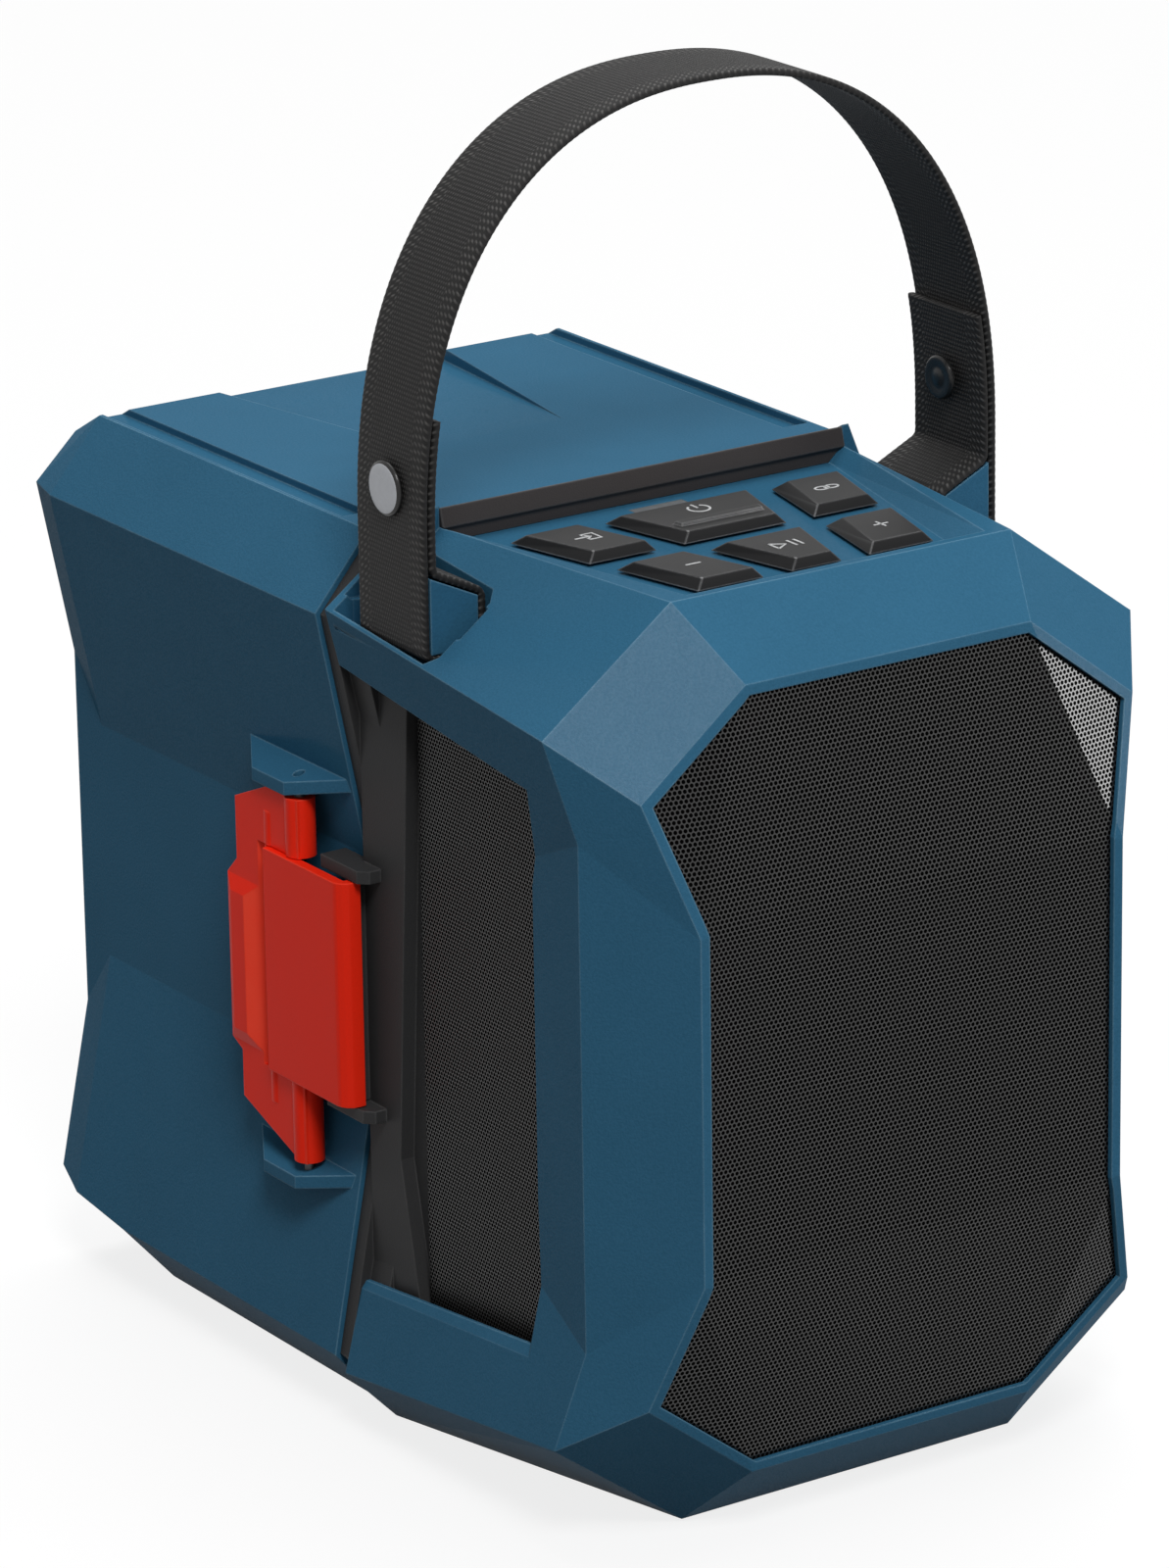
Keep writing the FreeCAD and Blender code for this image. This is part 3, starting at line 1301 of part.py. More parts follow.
def keypad_membrane():
    """The soft sheet under the keypad floor, open at each stem."""
    front, rear = FRONT_ROW_BACK + KEY_STEM, LIGHT_FRONT + LIGHT_DEPTH
    half = keypad_half()
    sheet = box(-half, half, front, rear, KEY_FLOOR - WALL - MEMBRANE_THICK, KEY_FLOOR - WALL)
    for spec in key_layout().values():
        sheet = sheet.cut(stem_box(spec, SLIDE_GAP, MID, HEIGHT))
    return sheet


def keypad_board():
    front, rear = FRONT_ROW_BACK + KEY_STEM, LIGHT_FRONT + LIGHT_DEPTH
    half = keypad_half()
    top = KEY_FLOOR - WALL - MEMBRANE_THICK
    return box(-half, half, front, rear, top - BOARD_THICK, top)


def amplifier_board():
    return box(-AMP_HALF, AMP_HALF, AMP_BACK, AMP_BACK + BOARD_THICK,
               MID - AMP_TALL / 2, MID + AMP_TALL / 2)


def battery_dock():
    """The plate in the rear bay with two rails that a battery slides on."""
    dock = box(-DOCK_HALF, DOCK_HALF, FLANGE_BACK, FLANGE_BACK + DOCK_THICK, DOCK_LOW, DOCK_HIGH)
    rear = FLANGE_BACK + DOCK_THICK + DOCK_RAIL
    outline = [
        (DOCK_HALF, FLANGE_BACK),
        (DOCK_HALF, rear),
        (DOCK_HALF - 2 * DOCK_THICK, rear),
        (DOCK_HALF - 2 * DOCK_THICK, rear - DOCK_THICK),
        (DOCK_HALF - DOCK_THICK, rear - DOCK_THICK),
        (DOCK_HALF - DOCK_THICK, FLANGE_BACK),
    ]
    return dock.fuse(both_sides(top_prism(outline, DOCK_LOW, DOCK_HIGH))).removeSplitter()


def terminal_block():
    """The block of slots at the dock's top that meets the battery's contacts."""
    low = DOCK_HIGH - TERMINAL_TALL
    front = FLANGE_BACK + DOCK_THICK
    block = box(-TERMINAL_HALF, TERMINAL_HALF, front, front + TERMINAL_DEEP, low, DOCK_HIGH)
    step = TERMINAL_HALF / 2
    for i in (-1, 0, 1):
        block = block.cut(box(i * step - 1, i * step + 1, front + WALL, front + TERMINAL_DEEP + 1,
                              low - 1, low + TERMINAL_TALL / 2))
    return block


def usb_socket():
    x = -SOCKET_STEP
    rear = FLANGE_BACK + SOCKET_DEEP
    shell = box(x - USB_HALF, x + USB_HALF, FLANGE_BACK, rear, SOCKET_HIGH - USB_TALL / 2,
                SOCKET_HIGH + USB_TALL / 2)
    return shell.cut(box(x - USB_HALF + 1, x + USB_HALF - 1, FLANGE_BACK + 1, rear + 1,
                         SOCKET_HIGH - USB_TALL / 2 + 1, SOCKET_HIGH + USB_TALL / 2 - 1))


def round_socket(x):
    ring = rod(x, SOCKET_HIGH, JACK_RADIUS, FLANGE_BACK, FLANGE_BACK + SOCKET_DEEP)
    return ring.cut(rod(x, SOCKET_HIGH, JACK_BORE, FLANGE_BACK + 1, COVER_BACK + SOCKET_DEEP))


def rear_foot(side):
    return post(side * FOOT_SIDE, FOOT_BACK, FOOT_RADIUS, -PAD_PROUD, COVER_SOLE)


def save(name, shape):
    shape.exportStep("parts/" + name + ".step")


def main():
    os.makedirs("parts", exist_ok=True)
    save("front_shell", front_shell())
    save("front_grille", front_grille())
    save("baffle", baffle())
    for name, shape in woofer_parts().items():
        save(name, shape)
    for name, spec in key_layout().items():
        save(name, key_solid(name, spec))
    for name, shape in (("side_grille", side_mesh()), ("side_radiator", side_radiator()),
                        ("strap_bar", bar_block(0)), ("snap", snap())):
        save(name + "_right", shape)
        save(name + "_left", mirrored(shape))
    save("mid_frame", mid_frame())
    save("top_band", top_band())
    save("power_light", light_box(0))
    save("keypad_membrane", keypad_membrane())
    save("keypad_board", keypad_board())
    save("amplifier_board", amplifier_board())
    save("battery_dock", battery_dock())
    save("terminal_block", terminal_block())
    save("usb_socket", usb_socket())
    save("aux_socket", round_socket(0))
    save("power_socket", round_socket(SOCKET_STEP))
    save("base_pad", pad_block(0))
    save("cover_seal", seal_ring(0))
    screws = [head.fuse(shank) for head, shank in zip(screw_heads(0), screw_shanks(0))]
    save("housing_screws", Part.makeCompound(screws))
    save("hinge_pin", hinge_pin())
    save("rear_cover", rear_cover())
    save("rear_foot_left", rear_foot(-1))
    save("rear_foot_right", rear_foot(1))
    save("lever_pin", lever_pin())
    save("latch_lever", latch_lever())
    save("bail_pin", bail_pin())
    save("latch_bail", latch_bail())
    save("strap", strap())


main()
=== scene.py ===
import math

import bmesh
import bpy
import numpy as np
from mathutils import Matrix, Vector


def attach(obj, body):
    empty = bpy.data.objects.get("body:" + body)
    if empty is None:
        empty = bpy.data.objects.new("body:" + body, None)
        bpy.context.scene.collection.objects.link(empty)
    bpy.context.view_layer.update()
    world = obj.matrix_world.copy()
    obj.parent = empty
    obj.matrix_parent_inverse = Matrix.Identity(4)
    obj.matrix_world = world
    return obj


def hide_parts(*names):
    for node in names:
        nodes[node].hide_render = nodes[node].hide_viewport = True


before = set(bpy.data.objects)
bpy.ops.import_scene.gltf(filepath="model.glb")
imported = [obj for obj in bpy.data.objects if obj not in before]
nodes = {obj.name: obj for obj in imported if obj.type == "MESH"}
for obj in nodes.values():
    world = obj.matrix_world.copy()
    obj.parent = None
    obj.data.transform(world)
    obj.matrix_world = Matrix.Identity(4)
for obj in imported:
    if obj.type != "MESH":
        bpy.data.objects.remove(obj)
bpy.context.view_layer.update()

# Camera
# The picture's own viewpoint: a long lens, a little above the speaker and to its left.
PICTURE_TALL = 1600
FOCAL_PIXELS = 7627.0
SENSOR_TALL = 36.0
SHIFT_PIXELS = (9.7, -14.5)
SIGHT = (0.05, 60.0)
CAMERA_PLACE = (-1.0802, -1.5501, 0.8151)
CAMERA_AXES = (
    (0.8295, -0.5583, -0.0154),
    (0.1887, 0.2542, 0.9486),
    (-0.5257, -0.7898, 0.3161),
)


def stand(name, data):
    """A camera, a lamp or a mesh put into the scene as an object of that name."""
    thing = bpy.data.objects.new(name, data)
    bpy.context.scene.collection.objects.link(thing)
    return thing


lens = bpy.data.cameras.new("lens")
lens.sensor_fit = "VERTICAL"
lens.sensor_height = SENSOR_TALL
lens.lens = FOCAL_PIXELS / PICTURE_TALL * SENSOR_TALL
lens.shift_x = SHIFT_PIXELS[0] / PICTURE_TALL
lens.shift_y = SHIFT_PIXELS[1] / PICTURE_TALL
lens.clip_start, lens.clip_end = SIGHT
camera = stand("camera", lens)
camera_matrix = Matrix(CAMERA_AXES).transposed().to_4x4()
camera_matrix.translation = CAMERA_PLACE
camera.matrix_world = camera_matrix
bpy.context.scene.camera = camera
bpy.context.scene.view_settings.view_transform = "Standard"

# Studio
# A pale room: a soft overhead key from behind, a lamp high at the front left that the shell's
# upper left facet mirrors, and one low on the right that the mesh's upper right facet mirrors.
WHITE = (1, 1, 1, 1)
WORLD_LEVEL = 0.22
FLOOR_SIZE = 14.0
FLOOR_COLOUR = (0.20, 0.20, 0.20, 1)
FLOOR_GLOW = 0.82
KEY_FROM = Vector((0.30, 0.25, 0.92))
KEY_LEVEL = 1.6
KEY_SPREAD = 50.0
LAMP_SIZE = 0.8
LAMPS = (
    ("lamp_left", (-0.77, -1.51, 2.27), 38.0),
    ("lamp_right", (2.45, -1.85, 0.26), 24.0),
)
LAMP_AIM = Vector((0.0, 0.05, 0.15))


def feed(tree, socket, value):
    """Gives a node's input another node's output, or else a fixed value."""
    if isinstance(value, bpy.types.NodeSocket):
        tree.links.new(value, socket)
    else:
        socket.default_value = value


def add(tree, kind, **inputs):
    """A new shader node with some inputs fed, each named with an underscore for a blank."""
    node = tree.nodes.new("ShaderNode" + kind)
    for label, value in inputs.items():
        feed(tree, node.inputs[label.replace("_", " ")], value)
    return node


def worked(tree, operation, *values):
    """The result of one step of arithmetic on numbers or other nodes' outputs."""
    node = add(tree, "Math")
    node.operation = operation
    for socket, value in zip(node.inputs, values):
        feed(tree, socket, value)
    return node.outputs[0]


def new_material(name):
    """A material with its node tree and its one shader."""
    material = bpy.data.materials.new(name)
    material.use_nodes = True
    return material, material.node_tree, material.node_tree.nodes["Principled BSDF"]


def eye_choice(tree, unseen, seen):
    """The seen shader where the camera, a mirror or glass looks, and the unseen one elsewhere."""
    path = add(tree, "LightPath").outputs
    mask = path["Is Camera Ray"]
    for ray in ("Is Glossy Ray", "Is Transmission Ray"):
        mask = worked(tree, "MAXIMUM", mask, path[ray])
    choice = add(tree, "MixShader", Fac=mask)
    feed(tree, choice.inputs[1], unseen.outputs[0])
    feed(tree, choice.inputs[2], seen.outputs[0])
    return choice


world = bpy.data.worlds.new("room")
bpy.context.scene.world = world
world.use_nodes = True
room = world.node_tree
lit = room.nodes["Background"]
lit.inputs["Color"].default_value = WHITE
lit.inputs["Strength"].default_value = WORLD_LEVEL
backdrop = add(room, "Background", Color=WHITE, Strength=1.0)
room_choice = eye_choice(room, lit, backdrop)
feed(room, room.nodes["World Output"].inputs["Surface"], room_choice.outputs[0])

key_lamp = bpy.data.lights.new("key", "SUN")
key_lamp.energy = KEY_LEVEL
key_lamp.angle = math.radians(KEY_SPREAD)
stand("key", key_lamp).rotation_euler = KEY_FROM.to_track_quat("Z", "Y").to_euler()

for name, place, power in LAMPS:
    lamp = bpy.data.lights.new(name, "AREA")
    lamp.shape = "SQUARE"
    lamp.size = LAMP_SIZE
    lamp.energy = power
    lamp_object = stand(name, lamp)
    lamp_object.location = place
    lamp_object.rotation_euler = (LAMP_AIM - Vector(place)).to_track_quat("-Z", "Y").to_euler()

floor_mesh = bpy.data.meshes.new("floor")
half = FLOOR_SIZE / 2
floor_mesh.from_pydata([(-half, -half, 0), (half, -half, 0), (half, half, 0), (-half, half, 0)],
                       [], [(0, 1, 2, 3)])
floor = stand("floor", floor_mesh)
floor_material, floor_tree, floor_shader = new_material("floor_white")
floor_shader.inputs["Base Color"].default_value = FLOOR_COLOUR
floor_shader.inputs["Roughness"].default_value = 0.9
floor_shader.inputs["Specular IOR Level"].default_value = 0.0
glow = add(floor_tree, "Emission", Strength=FLOOR_GLOW)
dark = add(floor_tree, "Emission", Strength=0.0)
both = add(floor_tree, "AddShader")
feed(floor_tree, both.inputs[0], floor_shader.outputs[0])
feed(floor_tree, both.inputs[1], eye_choice(floor_tree, dark, glow).outputs[0])
feed(floor_tree, floor_tree.nodes["Material Output"].inputs["Surface"], both.outputs[0])
floor_mesh.materials.append(floor_material)

# Blue housing shells
# Front shell and rear cover: injection-moulded ABS with a fine spark-eroded grain on every
# facet and a small radius along every edge, where handling polishes the grain a little and a
# lighter blue is painted on as a highlight.
BLUE = (0.035, 0.136, 0.235, 1)
# Painted highlight: the lighter blue laid along the rounded edges.
BLUE_EDGE_HIGHLIGHT = (0.26, 0.46, 0.60, 1)
MERGE_REACH = 0.00001
FLAT_ANGLE = 0.6
SHARP_ANGLE = 20


def node_group(name, takes, gives):
    """An empty node group with its sockets, and the sockets of its input and output nodes."""
    group = bpy.data.node_groups.new(name, "ShaderNodeTree")
    for way, sockets in (("INPUT", takes), ("OUTPUT", gives)):
        for label, kind in sockets.items():
            group.interface.new_socket(label, in_out=way, socket_type="NodeSocket" + kind)
    given = group.nodes.new("NodeGroupInput").outputs
    out = group.nodes.new("NodeGroupOutput").inputs
    return group, given, out


def ranged(tree, value, start, end, low=0.0, high=1.0, easing="LINEAR"):
    """A value carried from one range to another, held at the ends."""
    node = add(tree, "MapRange", Value=value, From_Min=start, From_Max=end, To_Min=low, To_Max=high)
    node.interpolation_type = easing
    return node.outputs["Result"]


def blended(tree, share, first, second):
    """A colour that goes from the first to the second by a share."""
    node = add(tree, "Mix")
    node.data_type = "RGBA"
    for label, value in (("Factor", share), ("A", first), ("B", second)):
        feed(tree, node.inputs[label], value)
    return node.outputs["Result"]


def bumped(tree, shader, height, strength, depth):
    """A bump node between a height and a shader's normal."""
    bump = add(tree, "Bump", Strength=strength, Distance=depth, Height=height)
    feed(tree, shader.inputs["Normal"], bump.outputs["Normal"])
    return bump


def grain_group():
    """Moulded plastic: grain is a fine noise as height, mottle is both noises mixed, wear and
    painted edge highlight is the turn between the plain and the rounded normal times the broad
    noise, and fleck is how much clear skin the fine noise leaves."""
    group, given, out = node_group(
        "moulded_grain",
        {"Grain Size": "Float", "Mottle": "Float", "Colour": "Color", "Wear And Highlight Colour": "Color",
         "Edge Radius": "Float", "Gloss": "Float"},
        {"Colour": "Color", "Roughness": "Float", "Height": "Float", "Normal": "Vector",
         "Fleck": "Float"})
    place = add(group, "TexCoord").outputs["Object"]
    fine = add(group, "TexNoise", Vector=place, Scale=given["Grain Size"], Detail=2.0).outputs["Fac"]
    broad = add(group, "TexNoise", Vector=place, Scale=34.0, Detail=3.0).outputs["Fac"]
    rounded = add(group, "Bevel", Radius=given["Edge Radius"])
    rounded.samples = 4
    turn = add(group, "VectorMath")
    turn.operation = "DOT_PRODUCT"
    feed(group, turn.inputs[0], rounded.outputs["Normal"])
    feed(group, turn.inputs[1], add(group, "NewGeometry").outputs["True Normal"])
    edge = ranged(group, turn.outputs["Value"], 0.995, 0.93, 0.0, 0.8)
    # Wear and painted highlight: the edges are tinted towards a lighter colour, as if they caught the light.
    wear_and_highlight = worked(group, "MULTIPLY", edge, broad)
    tint = blended(group, wear_and_highlight, given["Colour"], given["Wear And Highlight Colour"])
    speck = add(group, "Mix", Factor=0.35, A=fine, B=broad).outputs["Result"]
    mottle = ranged(group, speck, 0.3, 0.7, worked(group, "SUBTRACT", 1.0, given["Mottle"]),
                    worked(group, "ADD", 1.0, given["Mottle"]))
    shade = add(group, "VectorMath")
    shade.operation = "SCALE"
    feed(group, shade.inputs[0], tint)
    feed(group, shade.inputs["Scale"], mottle)
    polish = worked(group, "MULTIPLY_ADD", wear_and_highlight, -0.25, given["Gloss"])
    feed(group, out["Colour"], shade.outputs["Vector"])
    feed(group, out["Roughness"], worked(group, "MULTIPLY_ADD", broad, 0.12, polish))
    feed(group, out["Height"], fine)
    feed(group, out["Normal"], rounded.outputs["Normal"])
    feed(group, out["Fleck"], ranged(group, fine, 0.40, 0.60, 0.055, 0.095))
    return group


moulded = grain_group()


def moulded_plastic(name, colour, wear_and_highlight, gloss, grain, depth, radius=0.0006, mottle=0.06, sheen=0.06,
                    coat=0.0, coat_gloss=0.3):
    """A moulded plastic: the grain group's colour, roughness and bump on one shader, under a
    clear skin of a given weight, or of the group's flecks where the weight is left open."""
    material, tree, shader = new_material(name)
    use = tree.nodes.new("ShaderNodeGroup")
    use.node_tree = moulded
    for label, value in (("Colour", colour), ("Wear And Highlight Colour", wear_and_highlight), ("Gloss", gloss),
                         ("Grain Size", grain), ("Edge Radius", radius), ("Mottle", mottle)):
        use.inputs[label].default_value = value
    bump = bumped(tree, shader, use.outputs["Height"], 0.6, depth)
    feed(tree, bump.inputs["Normal"], use.outputs["Normal"])
    feed(tree, shader.inputs["Base Color"], use.outputs["Colour"])
    feed(tree, shader.inputs["Roughness"], use.outputs["Roughness"])
    feed(tree, shader.inputs["Coat Weight"], use.outputs["Fleck"] if coat is None else coat)
    shader.inputs["Coat Roughness"].default_value = coat_gloss
    shader.inputs["Specular IOR Level"].default_value = sheen
    return material


def finish_nodes(material, *names):
    """Gives each named solid the material in every slot it has."""
    for name in names:
        mesh = nodes[name].data
        if not mesh.materials:
            mesh.materials.append(material)
        for i in range(len(mesh.materials)):
            mesh.materials[i] = material


blue_plastic = moulded_plastic("blue_plastic", BLUE, BLUE_EDGE_HIGHLIGHT, gloss=0.44, grain=1500.0,
                               depth=0.00018, radius=0.0007, mottle=0.08, sheen=0.0,
                               coat=None, coat_gloss=0.19)
finish_nodes(blue_plastic, "front_shell", "rear_cover")

# Black chassis and inner parts
# The frame between the shells, the baffle, the basket and the dock: black glass-filled ABS.
BLACK = (0.044, 0.044, 0.045, 1)
BLACK_WORN = (0.16, 0.16, 0.16, 1)
black_plastic = moulded_plastic("black_plastic", BLACK, BLACK_WORN, gloss=0.42, grain=1700.0,
                                depth=0.0001)
finish_nodes(black_plastic, "mid_frame", "baffle", "battery_dock", "terminal_block", "woofer_frame",
             "aux_socket", "power_socket")

# Front and side mesh
# Punched steel sheet in satin black lacquer: round holes in staggered rows, folded along the
# facets at the front, and finer behind the side windows. The holes are not cut but painted near
# black, as the shade seen through them.
MESH_BLACK = (0.021, 0.021, 0.021, 1)
MESH_BRIGHTER = 1.35
# Painted shade: the near-black colour of the holes.
MESH_HOLE_SHADE = (0.0015, 0.0015, 0.0015, 1)
FRONT_PITCH = 0.00140
FRONT_HOLE = 0.39
SIDE_PITCH = 0.00125
SIDE_HOLE = 0.40
HOLE_BLUR = 0.06


def punched_group():
    """Punched sheet: two lattices of holes, one pitch by root three pitches, stand half a step
    apart both ways. The mask is nought within a hole's radius and one on the metal."""
    group, given, out = node_group(
        "punched_sheet", {"Across": "Float", "Up": "Float", "Pitch": "Float", "Hole": "Float"},
        {"Metal": "Float"})
    across = worked(group, "DIVIDE", given["Across"], given["Pitch"])
    up = worked(group, "DIVIDE", worked(group, "DIVIDE", given["Up"], given["Pitch"]), math.sqrt(3))
    reach = []
    for aside in (0.0, 0.5):
        squares = []
        for place, stretch in ((across, 1.0), (up, math.sqrt(3))):
            cell = worked(group, "FRACT", worked(group, "ADD", place, aside))
            away = worked(group, "MULTIPLY", worked(group, "SUBTRACT", cell, 0.5), stretch)
            squares.append(worked(group, "MULTIPLY", away, away))
        reach.append(worked(group, "SQRT", worked(group, "ADD", *squares)))
    near = worked(group, "MINIMUM", *reach)
    inner = worked(group, "SUBTRACT", given["Hole"], HOLE_BLUR)
    outer = worked(group, "ADD", given["Hole"], HOLE_BLUR)
    feed(group, out["Metal"], ranged(group, near, inner, outer, easing="SMOOTHSTEP"))
    return group


punched = punched_group()


def punched_sheet(name, across, pitch, hole, gloss, depth):
    """Punched sheet whose holes count along one of the object's axes and upwards, with lacquer on
    the metal alone and painted shade in the holes, which are not cut."""
    material, tree, shader = new_material(name)
    place = add(tree, "TexCoord").outputs["Object"]
    axes = add(tree, "SeparateXYZ", Vector=place).outputs
    use = tree.nodes.new("ShaderNodeGroup")
    use.node_tree = punched
    for label, value in (("Across", axes[across]), ("Up", axes["Z"]), ("Pitch", pitch), ("Hole", hole)):
        feed(tree, use.inputs[label], value)
    metal = use.outputs["Metal"]
    cloud = add(tree, "TexNoise", Vector=place, Scale=60.0).outputs["Fac"]
    brighter = tuple(MESH_BRIGHTER * value for value in MESH_BLACK[:3]) + (1,)
    # Painted shade: the holes are coloured near black in place of openings.
    colour = blended(tree, metal, MESH_HOLE_SHADE, blended(tree, cloud, MESH_BLACK, brighter))
    feed(tree, shader.inputs["Base Color"], colour)
    feed(tree, shader.inputs["Roughness"], ranged(tree, metal, 0.0, 1.0, 0.9, gloss))
    feed(tree, shader.inputs["Coat Weight"], metal)
    shader.inputs["Coat Roughness"].default_value = gloss
    shader.inputs["Specular IOR Level"].default_value = 0.0
    bumped(tree, shader, metal, 0.7, depth)
    return material


front_mesh = punched_sheet("front_mesh", "X", FRONT_PITCH, FRONT_HOLE, gloss=0.22, depth=0.00008)
side_mesh = punched_sheet("side_mesh", "Y", SIDE_PITCH, SIDE_HOLE, gloss=0.5, depth=0.0001)
finish_nodes(front_mesh, "front_grille")
finish_nodes(side_mesh, "side_grille_left", "side_grille_right")

# Latch
# Lever and bail: glass-filled nylon moulded in signal red, smoother than the housing. The
# lever turns on a steel pin in the cover's ears, and the bail on a pin in the lever.
RED = (1.0, 0.027, 0.008, 1)
RED_WORN = (1.0, 0.13, 0.07, 1)
LEVER_EDGE = 0.0005
BAIL_EDGE = 0.0004
CREST_FACE = -0.0935
CREST_FROM = 0.080
CREST_EDGE = 0.0012
CREST_SLANT = 0.45


def softened(node, body, material, radius):
    """A copy of a solid with its doubles merged, its flat faces joined, and each edge that turns
    by more than an angle cut back by a radius in two steps, shaded by the larger faces."""
    shape = bmesh.new()
    shape.from_mesh(nodes[node].data)
    bmesh.ops.remove_doubles(shape, verts=shape.verts, dist=MERGE_REACH)
    bmesh.ops.dissolve_limit(shape, angle_limit=math.radians(FLAT_ANGLE), verts=shape.verts,
                             edges=shape.edges)
    sharp = [edge for edge in shape.edges
             if len(edge.link_faces) == 2 and edge.calc_face_angle(0.0) > math.radians(SHARP_ANGLE)]
    bmesh.ops.bevel(shape, geom=sharp, offset=radius, offset_type="OFFSET", segments=2, profile=0.5,
                    affect="EDGES", clamp_overlap=True)
    mesh = bpy.data.meshes.new(node + "_soft")
    shape.to_mesh(mesh)
    shape.free()
    mesh.shade_smooth()
    mesh.materials.append(material)
    piece = stand(node + "_soft", mesh)
    weigh = piece.modifiers.new("weigh", "WEIGHTED_NORMAL")
    weigh.keep_sharp = True
    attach(piece, body)
    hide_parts(node)
    return piece


def slant_grip(mesh):
    """Moves the front edge of the grip's crest back by a share of the crest's width, which makes
    the grip's front wall a wide bevel."""
    crest = [vertex for vertex in mesh.vertices if vertex.co.x < CREST_FACE and vertex.co.y > CREST_FROM]
    front = min(vertex.co.y for vertex in crest)
    wide = max(vertex.co.y for vertex in crest) - front
    for vertex in crest:
        if vertex.co.y < front + CREST_EDGE:
            vertex.co.y += CREST_SLANT * wide


red_plastic = moulded_plastic("red_plastic", RED, RED_WORN, gloss=0.36, grain=1500.0, depth=0.00005,
                              radius=0.0005, mottle=0.03, sheen=0.04, coat=0.09)
lever = softened("latch_lever", "latch_lever", red_plastic, LEVER_EDGE)
slant_grip(lever.data)
softened("latch_bail", "latch_bail", red_plastic, BAIL_EDGE)

# Trim wall
# A dark ABS wall across the top behind the keys, stepped at the keypad side, its edges painted
# lighter grey as a highlight.
TRIM_DARK = (0.052, 0.047, 0.047, 1)
# Painted highlight: the lighter grey laid along the wall's edges.
TRIM_EDGE_HIGHLIGHT = (0.26, 0.26, 0.26, 1)
TRIM_EDGE = 0.00035
trim_plastic = moulded_plastic("trim_plastic", TRIM_DARK, TRIM_EDGE_HIGHLIGHT, gloss=0.5, grain=2400.0,
                               depth=0.0001)
softened("top_band", "housing", trim_plastic, TRIM_EDGE)

# Keys
# Six moulded caps with sloping skirts, satin black, their edges broken by a small radius and
# painted pale grey as a highlight.
KEY_BLACK = (0.016, 0.016, 0.0165, 1)
# Painted highlight: the pale grey laid along the caps' edges.
KEY_EDGE_HIGHLIGHT = (0.62, 0.62, 0.63, 1)
KEY_EDGE = 0.00035
key_plastic = moulded_plastic("key_plastic", KEY_BLACK, KEY_EDGE_HIGHLIGHT, gloss=0.42, grain=2600.0,
                              depth=0.00004, radius=0.0005, mottle=0.04, sheen=0.12)
for key in ("key_minus", "key_play", "key_plus", "key_source", "key_power", "key_link"):
    softened(key, key, key_plastic, KEY_EDGE)

# Key signs
# Pale grey ink, pad-printed a tenth of a millimetre thick in the middle of each cap.
MM = 0.001
KEY_TOP = 0.2548
INK_THICK = 0.00012
INK_WIDE = 0.00062
INK_DULL = (0.42, 0.43, 0.44, 1)
INK_PALE = (0.66, 0.67, 0.68, 1)
FRONT_ROW = -0.0290
REAR_ROW = 0.0074
POWER_ROW = 0.0115
OUTER_COLUMN = 0.0300
REAR_COLUMN = 0.0387


def toned(tree, value, low, dull, high, bright):
    """A colour that runs from dull to bright between two values."""
    ramp = add(tree, "ValToRGB", Fac=value)
    for stop, position, colour in zip(ramp.color_ramp.elements, (low, high), (dull, bright)):
        stop.position = position
        stop.color = colour
    return ramp.outputs["Color"]


def tube_faces(rows, columns, start=0):
    """Quads between rings of points that are numbered row by row, with the last column joined to
    the first."""
    i = np.arange(rows - 1)[:, None] * columns + start
    j = np.arange(columns)[None, :]
    k = (j + 1) % columns
    corners = [i + j, i + k, i + columns + k, i + columns + j]
    return np.stack(corners, axis=2).reshape(-1, 4).tolist()


def faced_out(mesh, merge=None):
    """Merges a mesh's doubles where a distance is given, and turns its faces outwards."""
    shape = bmesh.new()
    shape.from_mesh(mesh)
    if merge is not None:
        bmesh.ops.remove_doubles(shape, verts=shape.verts, dist=merge)
    bmesh.ops.recalc_face_normals(shape, faces=shape.faces)
    shape.to_mesh(mesh)
    shape.free()


def turned(radius_x, radius_y, first, last, count):
    """Points on an oval from one angle in degrees to another."""
    angle = np.radians(np.linspace(first, last, count))
    return np.stack([radius_x * np.cos(angle), radius_y * np.sin(angle)], axis=1)


def ink_sign(name, key, middle, lines):
    """Each line of a sign as a flat bar: its points are moved half a width to either side along
    the normal of the run there, and stand one ink thickness below and above the cap's top."""
    vertices = []
    faces = []
    for line in lines:
        points = np.asarray(line, dtype=float) * MM
        runs = np.gradient(points, axis=0)
        if np.allclose(points[0], points[-1]):
            runs[0] = runs[-1] = points[1] - points[-2]
        runs /= np.linalg.norm(runs, axis=1)[:, None]
        aside = np.stack([-runs[:, 1], runs[:, 0]], axis=1) * INK_WIDE / 2
        ring = np.stack([points + aside, points - aside, points - aside, points + aside], axis=1)
        count = len(points)
        start = sum(len(block) for block in vertices)
        block = np.zeros((count, 4, 3))
        block[:, :, :2] = ring + middle
        block[:, :, 2] = KEY_TOP + INK_THICK * np.array([-1, -1, 1, 1])
        vertices.append(block.reshape(-1, 3))
        last = start + 4 * (count - 1)
        faces += tube_faces(count, 4, start)
        faces += [[start + 3, start + 2, start + 1, start], [last, last + 1, last + 2, last + 3]]
    mesh = bpy.data.meshes.new(name)
    mesh.from_pydata(np.concatenate(vertices), [], faces)
    faced_out(mesh)
    mesh.materials.append(ink)
    sign = stand(name, mesh)
    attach(sign, key)


ink, ink_tree, ink_shader = new_material("pale_ink")
ink_grain = add(ink_tree, "TexNoise", Vector=add(ink_tree, "TexCoord").outputs["Object"], Scale=2600.0)
ink_tone = toned(ink_tree, ink_grain.outputs["Fac"], 0.3, INK_DULL, 0.55, INK_PALE)
feed(ink_tree, ink_shader.inputs["Base Color"], ink_tone)
ink_shader.inputs["Roughness"].default_value = 0.55

